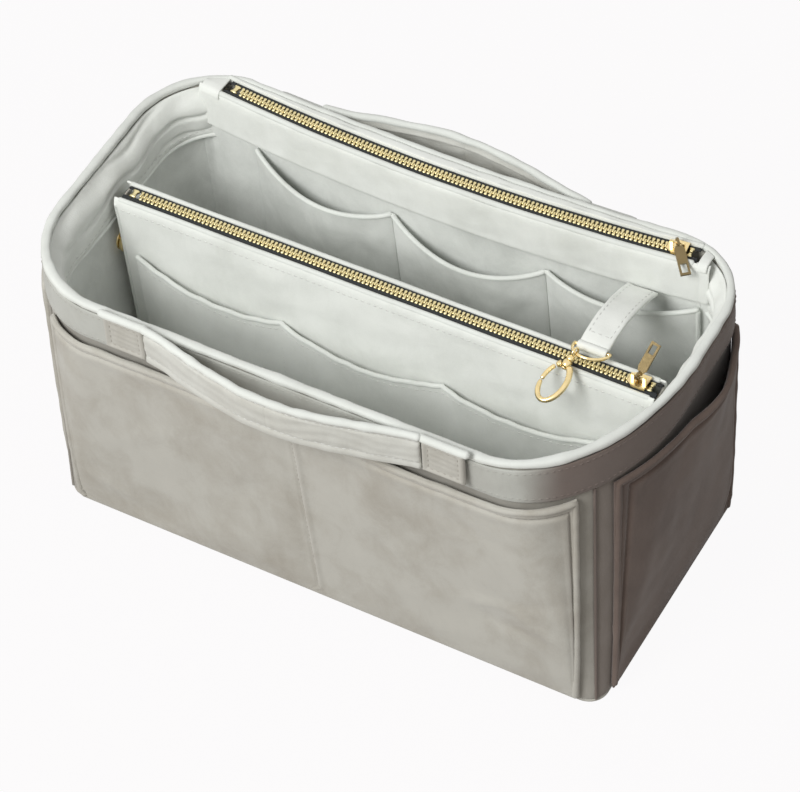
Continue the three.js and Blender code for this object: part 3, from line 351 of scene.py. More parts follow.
def tube_parts(line, radius, sides=12, up=(0, 0, 1), closed=False, domed=False):
    """Points and faces of a round cord along a line"""
    line = np.asarray(line, float)
    count = len(line)
    radii = np.broadcast_to(np.asarray(radius, float), (count,))
    tangent = unit(np.roll(line, -1, 0) - np.roll(line, 1, 0) if closed else np.gradient(line, axis=0))
    side = unit(np.cross(tangent, np.broadcast_to(np.asarray(up, float), tangent.shape)))
    upward = np.cross(side, tangent)
    if domed:
        pick = np.array([0, 0, 0, *range(count), -1, -1, -1])
        reach, scale = np.array([0.9, 0.585, 0.225]), np.array([0.12, 0.72, 0.96])
        reach = np.concatenate([-reach, np.zeros(count), reach[::-1]])
        line = line[pick] + tangent[pick] * (radii[pick] * reach)[:, None]
        radii = radii[pick] * np.concatenate([scale, np.ones(count), scale[::-1]])
        side, upward = side[pick], upward[pick]
    turns = (np.arange(sides) / sides * FULL_TURN)[:, None]
    ring = side[:, None] * np.cos(turns) + upward[:, None] * np.sin(turns)
    points = line[:, None] + ring * radii[:, None, None]
    return points.reshape(-1, 3), ring_faces(len(line), sides, closed)


def tube(name, line, radius, material, body="box", sides=10, up=(0, 0, 1)):
    return add_piece(name, *tube_parts(line, radius, sides, up, domed=True), material, body)


STITCH = {"pitch": 3.3, "length": 2.3, "radius": 0.3, "sink": 0.05, "sides": 6}
# Along the stitch, how thick it is there, and how far it is lifted
STITCH_SHAPE = np.array([(-1.0, 0.25, -0.55), (-0.72, 0.85, -0.1), (0.0, 1.0, 0.25), (0.72, 0.85, -0.1),
                         (1.0, 0.25, -0.55)])


def stitch_row(name, line, normals, material, body="box", closed=False):
    """A row of sewn stitches lying on a surface"""
    both = np.concatenate([line, normals], 1)
    if closed:
        both = np.concatenate([both, both[:1]])
    lengths = running_length(both[:, :3])
    count = max(int(lengths[-1] / STITCH["pitch"]), 1)
    where = (np.arange(count) + 0.5) / count * lengths[-1]
    half, radius, sides = STITCH["length"] / 2, STITCH["radius"], STITCH["sides"]
    centre, ahead, behind = (sample(both, lengths, where + shift) for shift in (0, half, -half))
    along, out = unit(ahead[:, :3] - behind[:, :3]), unit(centre[:, 3:])
    side = np.cross(along, out)
    share, scale, lift = (np.repeat(column, sides)[:, None] for column in STITCH_SHAPE.T)
    turns = np.tile(np.arange(sides) / sides * FULL_TURN, len(STITCH_SHAPE))[:, None]
    points = (
        centre[:, None, :3]
        + along[:, None] * share * half
        + side[:, None] * np.cos(turns) * radius * scale
        + out[:, None] * ((np.sin(turns) * scale + lift) * radius - STITCH["sink"])
    )
    one = ring_faces(len(STITCH_SHAPE), sides)
    return add_parts(name, [(stitch, one) for stitch in points], material, body)


def lathe(profile, segments):
    """Points and faces of a turned piece about Z, from pairs of radius and height"""
    points, rings = [], []
    for radius, height in profile:
        turns = np.arange(segments if radius else 1) * FULL_TURN / segments
        rings.append(len(points) + np.arange(len(turns)))
        points += np.stack([radius * np.cos(turns), radius * np.sin(turns), height + turns * 0], -1).tolist()
    faces = []
    for low, high in zip(rings, rings[1:]):
        a, b = np.resize(low, segments), np.resize(high, segments)
        quads = np.stack([a, np.roll(a, -1), np.roll(b, -1), b], -1).tolist()
        # Where a ring is a single point on the axis, a face has three corners
        faces += [list(dict.fromkeys(quad)) for quad in quads]
    return np.array(points), faces


def placed(points, matrix):
    return np.asarray(points, float) @ np.array(matrix.to_3x3()).T + np.array(matrix.translation)


# Materials
def put(node, **sockets):
    """Sets sockets by name, with an underscore for each space"""
    for name, value in sockets.items():
        node.inputs[name.replace("_", " ")].default_value = value
    return node


class Skin:
    """A material whose patterns are placed by the object's own coordinates"""

    def __init__(self, name):
        self.material = bpy.data.materials.new(name)
        self.material.use_nodes = True
        self.tree = self.material.node_tree
        self.tree.nodes.clear()
        self.out = self.make("OutputMaterial")
        self.shader = self.make("BsdfPrincipled")
        self.link(self.shader.outputs[0], self.out.inputs["Surface"])
        self.place = self.make("TexCoord").outputs["Object"]

    def make(self, kind, **sockets):
        return put(self.tree.nodes.new("ShaderNode" + kind), **sockets)

    def link(self, a, b):
        self.tree.links.new(a, b)

    def noise(self, size_mm, detail=2.0, rough=0.5, stretch=None, distortion=0.0):
        node = self.make("TexNoise", Scale=1 / (size_mm * MM), Detail=detail, Roughness=rough,
                         Distortion=distortion)
        source = self.place
        if stretch:
            mapping = self.make("Mapping", Scale=stretch)
            self.link(self.place, mapping.inputs["Vector"])
            source = mapping.outputs[0]
        self.link(source, node.inputs["Vector"])
        return node.outputs["Fac"]

    def wave(self, size_mm, direction, distortion):
        node = self.make("TexWave", Scale=1 / (size_mm * MM) / 2, Distortion=distortion)
        node.bands_direction = direction
        self.link(self.place, node.inputs["Vector"])
        return node.outputs["Fac"]

    def ramp(self, value, *stops):
        node = self.make("ValToRGB")
        while len(node.color_ramp.elements) < len(stops):
            node.color_ramp.elements.new(0.5)
        for element, (position, colour) in zip(node.color_ramp.elements, stops):
            element.position = position
            element.color = (*colour, 1)
        self.link(value, node.inputs["Fac"])
        return node.outputs["Color"]

    def math(self, operation, a, b):
        node = self.make("Math")
        node.operation = operation
        for socket, value in zip(node.inputs, (a, b)):
            if isinstance(value, (int, float)):
                socket.default_value = value
            else:
                self.link(value, socket)
        return node.outputs[0]

    def blend(self, a, b, share):
        return self.math("ADD", self.math("MULTIPLY", a, 1 - share), self.math("MULTIPLY", b, share))

    def spread(self, value, low, high):
        node = self.make("MapRange", To_Min=low, To_Max=high)
        self.link(value, node.inputs["Value"])
        return node.outputs["Result"]

    def paint_right_shade(self, colour, right_shade_colour):
        """Paints shade: changes a colour to a shaded one towards the right hand side, where the wall turns away
        from the light
        """
        split = self.make("SeparateXYZ")
        self.link(self.place, split.inputs[0])
        share = self.make("MapRange", From_Min=0.112, From_Max=0.133)
        share.interpolation_type = "SMOOTHSTEP"
        self.link(split.outputs["X"], share.inputs["Value"])
        mix = self.make("Mix")
        mix.data_type = "RGBA"
        mix.inputs[7].default_value = (*right_shade_colour, 1)
        self.link(share.outputs["Result"], mix.inputs[0])
        self.link(colour, mix.inputs[6])
        return mix.outputs[2]

    def bump(self, height, distance_mm, strength, after=None):
        node = self.make("Bump", Distance=distance_mm * MM, Strength=strength)
        self.link(height, node.inputs["Height"])
        if after is not None:
            self.link(after, node.inputs["Normal"])
        return node.outputs[0]

    def dress(self, colour, roughness, normal):
        for socket, value in (("Base Color", colour), ("Roughness", roughness), ("Normal", normal)):
            self.link(value, self.shader.inputs[socket])
        return self.material


def shade(colour, factor):
    return tuple(min(c * factor, 1.0) for c in colour)


def velour(name, colour, brushed_colour, sheen=0.3, nap=1.0, right_shade_colour=None):
    """Short pile: patches where the nap lies the other way are darker, over a fine grain of fibres.

    A colour given for the right hand side is painted shade there, where the cloth is turned away from the
    light.
    """
    s = Skin(name)
    streaks = s.noise(17, 5, 0.66, stretch=(1.0, 1.0, 0.7), distortion=0.35)
    fibre = s.noise(0.6, 3, 0.7)
    grained = s.blend(s.blend(streaks, s.noise(60, 2, 0.5, distortion=0.3), 0.5), fibre, 0.14)
    cloth_colour = s.ramp(grained, (0.36, brushed_colour), (0.56, colour), (0.74, shade(colour, 1.06)))
    if right_shade_colour:
        cloth_colour = s.paint_right_shade(cloth_colour, right_shade_colour)
    put(s.shader, Sheen_Weight=sheen, Sheen_Roughness=0.5, Specular_IOR_Level=0.1)
    soft = s.bump(s.noise(11, 3, 0.55), 0.5 * nap, 0.45)
    return s.dress(cloth_colour, s.spread(streaks, 0.85, 0.98), s.bump(fibre, 0.14 * nap, 0.8, soft))


def woven_tape(name, colour):
    s = Skin(name)
    weave = s.math("MULTIPLY", s.wave(0.9, "X", 0.4), s.wave(0.7, "Y", 0.4))
    return s.dress(s.ramp(weave, (0.0, shade(colour, 0.6)), (1.0, shade(colour, 1.9))),
                   s.spread(s.noise(3, 2), 0.7, 0.95), s.bump(weave, 0.15, 0.9))


def thread(name, colour, right_shade_colour=None):
    s = Skin(name)
    twist = s.wave(0.32, "DIAGONAL", 0.3)
    strands = s.ramp(twist, (0.0, shade(colour, 0.82)), (1.0, shade(colour, 1.08)))
    if right_shade_colour:
        strands = s.paint_right_shade(strands, right_shade_colour)
    return s.dress(strands, s.spread(s.noise(1.2, 2), 0.5, 0.75), s.bump(twist, 0.08, 0.7))


def gold(name, colour, low=0.14, high=0.3):
    s = Skin(name)
    put(s.shader, Metallic=1.0)
    return s.dress(s.ramp(s.noise(5, 3, 0.55), (0.3, shade(colour, 0.9)), (0.7, shade(colour, 1.06))),
                   s.spread(s.noise(1.6, 4, 0.6), low, high), s.bump(s.noise(0.8, 3, 0.6), 0.02, 0.5))


def board(name, colour):
    s = Skin(name)
    grain = s.noise(2.2, 4, 0.6)
    return s.dress(s.ramp(grain, (0.3, shade(colour, 0.85)), (0.7, shade(colour, 1.1))),
                   s.spread(grain, 0.6, 0.85), s.bump(grain, 0.1, 0.6))


# Painted shade for the right hand side of the band, the corner seams and the band's thread, which is turned
# away from the light
RIGHT_PAINTED_SHADE = (0.17, 0.135, 0.118)
velour_skin = velour("velour_grey", (0.50, 0.49, 0.445), (0.38, 0.355, 0.305))
# Painted shade: a dark copy of the grey velour for the right pocket, which is turned away from the light
right_pocket_shade_skin = velour("velour_right_side_painted_shade", (0.17, 0.128, 0.108), (0.12, 0.088, 0.074))
band_skin = velour("velour_band", (0.50, 0.51, 0.475), (0.41, 0.41, 0.375), right_shade_colour=RIGHT_PAINTED_SHADE)
seam_skin = velour("velour_seam", (0.36, 0.345, 0.31), (0.30, 0.28, 0.25), right_shade_colour=RIGHT_PAINTED_SHADE)
front_wall_skin = velour("velour_front_wall", (0.40, 0.385, 0.345), (0.31, 0.29, 0.25))
# Painted shade: a darker copy of the grey velour for the right wall, which is turned away from the light
right_wall_shade_skin = velour("velour_right_wall_painted_shade", (0.27, 0.235, 0.21), (0.21, 0.18, 0.155))
pale_skin = velour("velour_pale", (0.82, 0.84, 0.805), (0.72, 0.74, 0.70))
binding_skin = velour("velour_binding", (0.74, 0.765, 0.73), (0.66, 0.68, 0.645))
lining_skin = velour("lining_cloth", (0.78, 0.80, 0.77), (0.62, 0.64, 0.61), 0.2)
strap_skin = velour("velour_strap", (0.62, 0.625, 0.585), (0.50, 0.495, 0.45))
tab_skin = velour("velour_tab", (0.50, 0.49, 0.445), (0.40, 0.385, 0.34))
felt_skin = velour("felt", (0.32, 0.32, 0.31), (0.26, 0.26, 0.25), 0.1, 1.6)
board_skin = board("board", (0.25, 0.23, 0.19))
tape_skin = woven_tape("zip_tape", (0.022, 0.025, 0.026))
thread_skin = thread("thread", (0.70, 0.71, 0.68))
wall_thread_skin = thread("thread_wall", (0.42, 0.40, 0.355))
band_thread_skin = thread("thread_band", (0.46, 0.46, 0.42), RIGHT_PAINTED_SHADE)
dark_thread_skin = thread("thread_shaded", (0.15, 0.115, 0.10))
gold_skin = gold("gold", (0.90, 0.72, 0.38))
tooth_skin = gold("tooth_gold", (0.80, 0.70, 0.40), 0.24, 0.5)
pull_skin = gold("pull_bronze", (0.25, 0.19, 0.095), 0.14, 0.26)

SLOT_SKINS = {
    "velour": velour_skin, "lining": lining_skin, "felt": felt_skin, "board": board_skin,
    "tape": tape_skin, "gold": gold_skin, "pull": pull_skin,
}
slots = {part["node"]: part["material_slot"] for part in frame["record"]["subparts"]}
for node_name, node in nodes.items():
    node.data.materials.clear()
    node.data.materials.append(SLOT_SKINS[slots[node_name]])


# Rows of stitches and round trims that follow a cloth
def cloth_line(cloth, u, v, gap):
    """Points and normals along a line, without the ones nearer than a gap to the one before"""
    points, normals = cloth.at(u, v)
    keep = np.concatenate([[True], np.linalg.norm(np.diff(points, axis=0), axis=1) > gap])
    return points[keep], normals[keep]


def sew(name, cloth, u, v, lift, material=thread_skin, body="box", closed=False, gap=-1.0, upward=False):
    """A row of stitches. A negative lift puts it on the cloth's other face"""
    points, normals = cloth_line(cloth, u, v, gap)
    if upward:
        normals = normals * np.sign(normals[:, 2:3])
    return stitch_row(name, points + normals * lift, normals * np.sign(lift), material, body, closed)


def trim(name, cloth, u, v, radius, lift=0.0, material=binding_skin, body="box", sides=10, gap=-1.0,
         wobble=None, level=False):
    points, normals = cloth_line(cloth, u, v, gap)
    if wobble:
        radius = radius * (1 + 0.05 * ripple(points, *wobble))
    return tube(name, points + normals * lift, radius, material, body, sides, (0, 0, 1) if level else normals)


# Walls
def still(u, v, low=0.06):
    """One in the middle of a piece and nought at its seams"""
    return smooth(inward(u) / low) * smooth(inward(v) / low)


def wall_base(side):
    def base(u, v):
        height = lerp(WALL_FOOT, rim_height(lerp(*SIDES[side], u)) - ROLL - GAP, v)
        start, end = side_stations(side, height, GAP / 2)
        return shell(lerp(start, end, u), height, VELOUR / 2)
    return base


# The right wall's cloth is painted shade
for side in SIDES:
    cloth_sheet(f"{side}_wall_cloth", Cloth(wall_base(side)), (290 if side in ("front", "back") else 150, 158),
                VELOUR / 2, {"right": right_wall_shade_skin, "front": front_wall_skin}.get(side, velour_skin), 5.0,
                replaced=f"{side}_wall")

# A thin raised seam where two walls meet
for label, station in (("front_right", 1.5), ("back_right", 3.5), ("back_left", 5.5), ("front_left", 7.5)):
    heights = np.linspace(2.5, float(rim_height(station)) - BAND - 1, 40)
    tube(f"corner_seam_{label}", shell(station, heights, -0.35), 0.75, seam_skin, sides=8, up=(1, 0, 0))


# Lining
def lining_base(u, v):
    station = u * STRETCHES
    height = lerp(LINING_FOOT, rim_height(station) - LINING_DROP, v)
    return shell(station, height, LINING_INSET + THIN / 2)


def lining_crease(u, v, p):
    fade = smooth(v / 0.1) * smooth((1 - v) / 0.25)
    return fade * (waves(p, (-0.5, 42, 11, (1, 1, 2.2)), (-0.22, 14, 12)) - 0.5)


cloth_sheet("lining_cloth_ring", Cloth(lining_base, 1, lining_crease), (890, 146), THIN / 2, lining_skin, 4.5,
            loop=True, replaced="lining")


# Rim band, roll and facing
def band_base(u, v):
    station = u * STRETCHES
    return shell(station, rim_height(station) - lerp(BAND, ROLL + GAP, v), -GAP - THIN / 2)


def band_crease(u, v, p):
    return np.sin(v * math.pi) * (0.22 + waves(p, (0.11, 26, 21), (0.1, 9, 22)))


band = Cloth(band_base, 1, band_crease)
cloth_sheet("rim_band_cloth", band, (910, BAND - ROLL - GAP), THIN / 2, band_skin, 3.0, loop=True,
            replaced="rim_band")
around = np.linspace(0, 1, 900, endpoint=False)
for label, share in (("low", 0.12), ("high", 0.9)):
    sew(f"rim_band_stitch_{label}", band, around, share, THIN / 2, band_thread_skin, closed=True)

ROLL_RINGS, ROLL_SIDES = 620, 18


def roll_points():
    """The rolled edge, narrower along the back where the facing isn't under it"""
    station = np.arange(ROLL_RINGS)[:, None] / ROLL_RINGS * STRETCHES
    narrowing = np.clip(station - 3, 0, 1) - np.clip(station - 5, 0, 1)
    outer, inner = -GAP - THIN, VELOUR + GAP + THIN * (1 - narrowing)
    middle, half_width = (outer + inner) / 2, (inner - outer) / 2
    level = rim_height(station) - ROLL / 2
    wobble = 1 + waves(shell(station, level, middle), (0.06, 34, 31), (0.04, 10, 32))
    across, rise = soft_square(ROLL_SIDES, 0.8)
    return shell(station, level + ROLL / 2 * rise * wobble, middle + half_width * across * wobble)


add_piece("rim_roll_cloth", roll_points().reshape(-1, 3), ring_faces(ROLL_RINGS, ROLL_SIDES, True),
          binding_skin, replaced="rim_binding")

FACING_FROM, FACING_TO = -2.78, 3.74


def facing_base(u, v):
    station = lerp(FACING_FROM, FACING_TO, u)
    drop = lerp(FACING, ROLL + GAP, v)
    top_share = smooth((LINING_DROP - drop) / (LINING_DROP - ROLL - GAP))
    inset = lerp(FACING_INSET, VELOUR + GAP, top_share) + THIN / 2
    return shell(station, rim_height(station) - drop, inset)


def facing_crease(u, v, p):
    """Long soft rolls that run along the rim, and drift up and down as they go"""
    drift = v * 2.2 + 0.1 + waves(p, (0.3, 75, 43), (0.1, 22, 44))
    sunk = hill(np.mod(drift, 1), 0.5, 0.11)
    strength = 0.8 + 0.3 * ripple(p, 90, 45)
    return -np.sin(v * math.pi) ** 0.5 * (0.3 + 1.5 * (1 - sunk) * strength + 0.3 * ripple(p, 12, 42))


facing = Cloth(facing_base, 1, facing_crease)
cloth_sheet("inner_facing_cloth", facing, (650, 31), THIN / 2, pale_skin, 3.0, replaced="inner_facing",
            step_v=0.9)
along = np.linspace(0.004, 0.996, 420)
trim("inner_facing_piping", facing, along, 0.01, 1.15, -0.75, level=True)
sew("inner_facing_stitch", facing, along, 0.14, -THIN / 2)

# Outer pockets
HEM = 6.2
PIPING = 1.7
# Creases of the front pocket: from and to in X and Z, width and height
FRONT_FOLDS = (
    (84, 52, 104, 60, 2.4, 1.5), (104, 60, 132, 46, 2.4, 1.4), (88, 46, 124, 42, 3.4, -0.9),
    (104, 62, 134, 74, 3.5, -0.7), (-120, 60, -70, 92, 5.0, 0.6), (-60, 40, -20, 86, 5.0, -0.5),
    (18, 96, 60, 60, 5.0, 0.6), (60, 118, 120, 104, 4.5, -0.6), (-134, 30, -100, 18, 3.0, 0.6),
)
# X of the seam between two bays, at its foot and top
DIVIDER = {"front": (-1.5, -4.5), "back": (0.0, 0.0)}


def pocket_base(side, bays, mouth):
    def base(u, v):
        height = lerp(POCKET_FOOT, rim_height(lerp(*SIDES[side], u)) - POCKET_DROP, v)
        start, end = side_stations(side, height, POCKET_MARGIN)
        bay = np.abs(np.sin(math.pi * u * bays))
        gape = mouth * bay ** (0.8 if bays == 2 else 1.7) * np.clip(v, 0, 1) ** 1.6
        return shell(lerp(start, end, u), height, -(POCKET_LIFT + gape + VELOUR / 2))
    return base


def pocket_crease(side, bays, seed, length, height):
    def crease(u, v, p):
        bay = np.abs(np.sin(math.pi * u * bays))
        fade = smooth(bay / 0.5) * smooth(v / 0.1) * (0.45 + 0.55 * smooth((1 - v) / 0.2))
        value = fade * (0.35 + waves(p, (0.55, 60, seed, (1, 1, 1.8)), (0.16, 17, seed + 1, (1, 1, 1.4))))
        # The hem: a sewn groove inside the piping, and the cloth puffed a little on both sides of it
        edge = np.minimum(inward(u) * length, (1 - v) * height)
        sewn = smooth(v / 0.05)
        value = value + sewn * (0.55 * hill(edge, 3.9, 1.3) - 0.9 * hill(edge, HEM, 0.85)
                                + 0.55 * hill(edge, HEM + 2.8, 1.7))
        if bays == 2:
            off = p[..., 0] - lerp(*DIVIDER[side], v)
            dip = hill(off, 0, 0.9) + 0.5 * hill(off, -3, 3.5)
            value = value + sewn * (0.9 * hill(off, 2.4, 1.5) - 0.9 * dip)
        if side == "front":
            for x1, z1, x2, z2, width, size in FRONT_FOLDS:
                value = value + fold_line(p[..., [0, 2]], (x1, z1), (x2, z2), width, size)
        return value
    return crease


for side, bays, mouth, length, height, seed in (
    ("front", 2, 2.8, 281, 136, 51), ("back", 2, 3.2, 282, 138, 53),
    ("left", 1, 9.5, 132, 136, 55), ("right", 1, 9.5, 138, 138, 57),
):
    skin, thread_used = velour_skin, wall_thread_skin
    # The right pocket's cloth and thread are painted shade
    if side == "right":
        skin, thread_used = right_pocket_shade_skin, dark_thread_skin
    cloth = Cloth(pocket_base(side, bays, mouth), 1, pocket_crease(side, bays, seed, length, height))
    seams_u = [HEM, length - HEM] + (list(length / 2 + np.arange(-13, 13, 2.2)) if bays == 2 else [])
    pocket = cloth_sheet(f"{side}_pocket_cloth", cloth, (length, height), VELOUR / 2, skin, 3.0,
                         replaced=f"{side}_pocket", seams_u=seams_u, seams_v=[height - HEM])
    ups = np.linspace(0.025, 1 - PIPING / height, 60)
    across = np.linspace(PIPING / length, 1 - PIPING / length, 160)
    path_u = np.concatenate([np.full(60, across[0]), across, np.full(60, across[-1])])
    path_v = np.concatenate([ups, np.full(160, ups[-1]), ups[::-1]])
    trim(f"{side}_pocket_piping", cloth, path_u, path_v, PIPING, 0.35, skin, sides=12, gap=0.4,
         wobble=(14, seed + 2))
    sew(f"{side}_pocket_stitch", cloth, np.clip(path_u, HEM / length, 1 - HEM / length),
        np.clip(path_v, 0.0, 1 - HEM / height), VELOUR / 2, thread_used, gap=0.2)
    if bays == 2:
        ups = np.linspace(0.02, 0.97, 120)
        shares = np.linspace(0.4, 0.6, 81)
        places = cloth.base(*np.meshgrid(shares, ups))[..., 0] - lerp(*DIVIDER[side], ups)[:, None]
        middle = np.pad(shares[np.argmin(np.abs(places), axis=1)], 4, "edge")
        sew(f"{side}_pocket_divider_stitch", cloth, np.convolve(middle, np.full(9, 1 / 9), "valid"), ups,
            VELOUR / 2, thread_used)

# Back zip line and the zipped pocket
ZIP_X, ZIP_HALF, ZIP_Y, ZIP_SAG, ZIP_LEVEL = 3.0, 125.0, 62.5, 7.0, 166.5
ARC_RADIUS = (ZIP_HALF ** 2 + ZIP_SAG ** 2) / (2 * ZIP_SAG)
PANEL_LEFT, PANEL_RIGHT, PANEL_FOOT = -130.0, 134.0, 25.0
PANEL_TOP = ZIP_LEVEL - 3.3
PANEL_REAR = 7.9 - 2 * THIN - GAP
FOLD = np.array([[8.2, -23.0], [7.9, -3.2], [7.2, -1.1], [5.6, 0.55]])
END_FLAP = np.array([[8.1, -2.4], [7.6, -0.2], [6.4, 1.15], [3.0, 1.3]])


def zip_line_y(x):
    return ZIP_Y + ZIP_SAG * ((x - ZIP_X) / ZIP_HALF) ** 2


def arc_track(along, offset):
    turn = along / ARC_RADIUS
    reach = ARC_RADIUS - offset
    return ZIP_X + reach * np.sin(turn), ZIP_Y + ARC_RADIUS - reach * np.cos(turn)


def straight_track(along, offset):
    return along, offset + along * 0


def panel_rear_y(x, height):
    foot = back_face_y(x, PANEL_FOOT, LINING_FACE) - GAP
    top = zip_line_y(x) - PANEL_REAR
    share = (height - PANEL_FOOT) / (PANEL_TOP - PANEL_FOOT)
    return np.minimum(lerp(foot, top, share), back_face_y(x, height, LINING_FACE) - GAP)


def zip_panel_base(u, v):
    x, height = lerp(PANEL_LEFT, PANEL_RIGHT, u), lerp(PANEL_FOOT, PANEL_TOP, v)
    return np.stack([x, panel_rear_y(x, height) - THIN / 2, height], -1)


def zip_panel_crease(u, v, p):
    return -still(u, v) * waves(p, (0.25, 40, 61))


cloth_sheet("zip_pocket_panel_cloth", Cloth(zip_panel_base, 1, zip_panel_crease), (264, 138), THIN / 2,
            lining_skin, 4.0, replaced="zip_pocket_panel")


def fold_profile():
    """The fold's outline with its corner rounded, as away and rise from the zip line"""
    turn = np.linspace(0, 1, 7)[:, None]
    corner = (1 - turn) ** 2 * FOLD[1] + 2 * turn * (1 - turn) * (FOLD[2] + [0.3, 0.5]) + turn ** 2 * FOLD[3]
    return np.concatenate([np.linspace(FOLD[0], FOLD[1], 9), corner[1:]])


FOLD_LINE = fold_profile()


def back_facing_base(u, v):
    away, rise = profile_point(FOLD_LINE, v)
    x = lerp(PANEL_LEFT, PANEL_RIGHT, u)
    y = zip_line_y(x) - away + THIN / 2 * smooth((0.95 - v) / 0.1)
    return np.stack([x, y, ZIP_LEVEL + rise - 0.3], -1)


def back_facing_crease(u, v, p):
    return -still(u, v, 0.1) * (0.2 + waves(p, (0.16, 30, 63), (0.08, 11, 64)))


back_facing = Cloth(back_facing_base, 1, back_facing_crease)
cloth_sheet("back_facing_cloth", back_facing, (264, 38), THIN / 2, pale_skin, 3.0, replaced="back_facing")
along = np.linspace(0.01, 0.99, 200)
trim("back_facing_piping", back_facing, along, 0.02, 1.1, -0.5, level=True)
for label, share in (("low", 0.12), ("high", 0.84)):
    sew(f"back_facing_stitch_{label}", back_facing, along, share, -THIN / 2)


def strip_base(u, v):
    x = lerp(PANEL_LEFT + 8, PANEL_RIGHT - 6, u)
    y = lerp(zip_line_y(x) + 4.7, back_face_y(x, ZIP_LEVEL, VELOUR + GAP * 3), v)
    return np.stack([x, y, ZIP_LEVEL + 0.6 + THIN / 2 + x * 0], -1)


cloth_sheet("zip_rear_strip_cloth", Cloth(strip_base, 1, lambda u, v, p: waves(p, (0.15, 18, 65))), (250, 6),
            THIN / 2, pale_skin, 2.0, replaced="zip_rear_strip")


def end_flap_base(first, last):
    """A level piece of cloth from the facing's fold back to the wall, past an end of the zip"""
    def base(u, v):
        x = lerp(first, last, u)
        away, rise = profile_point(END_FLAP, np.clip(v / 0.4, 0, 1))
        share = np.clip((v - 0.4) / 0.6, 0, 1)
        y = lerp(zip_line_y(x) - away, back_face_y(x, ZIP_LEVEL, VELOUR + GAP * 2), share)
        return np.stack([x, y, ZIP_LEVEL + rise - 0.6 * share], -1)
    return base


for label, first, last in (("left", -136.5, ZIP_X - ZIP_HALF - 3.6), ("right", ZIP_X + ZIP_HALF + 4.6, 137.5)):
    cloth_sheet(f"back_zip_end_{label}_cloth",
                Cloth(end_flap_base(first, last), 1, lambda u, v, p: waves(p, (0.15, 9, 66))),
                (last - first, 17), THIN / 2, pale_skin, 1.0)


def corner_base(hand, facing_part):
    """Cloth that carries the panel or the facing on into a corner"""
    def base(u, v):
        x = lerp((PANEL_LEFT if hand < 0 else PANEL_RIGHT) - hand * 2.5, hand * 138.5, u)
        if facing_part:
            away, rise = profile_point(FOLD_LINE, v)
            return np.stack([x, zip_line_y(x) - away + THIN / 2 + 0.12, ZIP_LEVEL + rise - 0.35], -1)
        height = lerp(PANEL_FOOT, ZIP_LEVEL - 20, v)
        return np.stack([x, panel_rear_y(x, height) - THIN / 2 + 0.3, height], -1)
    return base


for label, hand, wide in (("left", -1, 11), ("right", 1, 7)):
    for part, facing_part, tall, skin in (("panel", False, 118, lining_skin), ("facing", True, 26, pale_skin)):
        cloth_sheet(f"corner_{part}_{label}_cloth", Cloth(corner_base(hand, facing_part)), (wide, tall),
                    THIN / 2, skin, 1.6)

fold_xs = np.linspace(ZIP_X - ZIP_HALF - 4.5, ZIP_X + ZIP_HALF + 1.5, 220)
for label, away, rise, radius in (("front", -5.75, -0.15, 1.45), ("rear", 5.7, 0.35, 1.4)):
    levels = ZIP_LEVEL + rise + 0.12 * np.sin(fold_xs / 9)
    tube(f"back_zip_fold_{label}", np.stack([fold_xs, zip_line_y(fold_xs) + away, levels], -1), radius,
         binding_skin, sides=12)

# Inner slip pockets
SLIP_SEAMS = (-106.0, -27.8, 55.7, 134.0)
SLIP_TOPS = (141.0, 134.0, 132.5, 138.5)
SLIP_DIPS = (9.5, 12.5, 4.0)
SLIP_MOUTH, SLIP_FOOT = 9.0, 24.0


def slip_base(k, first, last):
    def base(u, v):
        belly = arch(u, 0.8)
        x = lerp(first, last, u)
        height = lerp(SLIP_FOOT, lerp(SLIP_TOPS[k], SLIP_TOPS[k + 1], u) - SLIP_DIPS[k] * belly, v)
        gape = SLIP_MOUTH * belly * np.clip(v, 0, 1) ** 0.9
        return np.stack([x, panel_rear_y(x, height) - THIN - POCKET_LIFT - gape - THIN / 2, height], -1)
    return base


def slip_crease(seed):
    return lambda u, v, p: still(u, v, 0.15) * waves(p, (0.5, 26, seed), (0.15, 9, seed))


along = np.linspace(0.01, 0.99, 90)
rises = np.linspace(0.03, 0.98, 80)
for k, label in enumerate(("left", "center", "right")):
    first, last = SLIP_SEAMS[k] + GAP / 2, SLIP_SEAMS[k + 1] - GAP / 2
    cloth = Cloth(slip_base(k, first, last), -1, slip_crease(71 + k))
    pocket = cloth_sheet(f"inner_pocket_{label}_cloth", cloth, (last - first + 5, 104), THIN / 2, lining_skin,
                         3.0, replaced=f"inner_pocket_{label}")
    trim(f"inner_pocket_{label}_binding", cloth, along, 0.995, 1.3)
    sew(f"inner_pocket_{label}_stitch", cloth, along, 0.95, THIN / 2)
    for seam, share in (("first", 0.02), ("second", 0.98)):
        sew(f"inner_pocket_{label}_seam_{seam}", cloth, share, rises, THIN / 2)
    if label == "right":
        trim("inner_pocket_right_side_binding", cloth, 0.995, rises, 1.25)

# Zips
PITCH = 2.2
SLIDER_LENGTH, POST_AHEAD, POST_LENGTH = 9.6, 2.9, 2.2
STOP_LENGTH, BOTTOM_STOP, TAPE_TAIL = 2.6, 3.0, 3.0
CORD_OFFSET = 2.55
FALLING_TAPE = np.array([[2.2, 0.0], [3.6, 0.0], [4.25, -0.05], [4.55, -0.9], [5.0, -2.4]])
FLAT_TAPE = np.array([[2.2, 0.0], [3.2, 0.0], [4.4, 0.0]])
# A clamp round the tape's edge and a rounded head that reaches past the middle: offset and half sizes
TOOTH = np.array([
    (2.75, 0.55, 0.55), (2.5, 0.8, 0.95), (1.8, 0.82, 1.0), (1.2, 0.54, 0.8), (0.4, 0.52, 0.85),
    (-0.45, 0.5, 0.8), (-0.75, 0.34, 0.6),
])
TOOTH_SIDES = 8
TOOTH_FACES = ring_faces(len(TOOTH), TOOTH_SIDES)


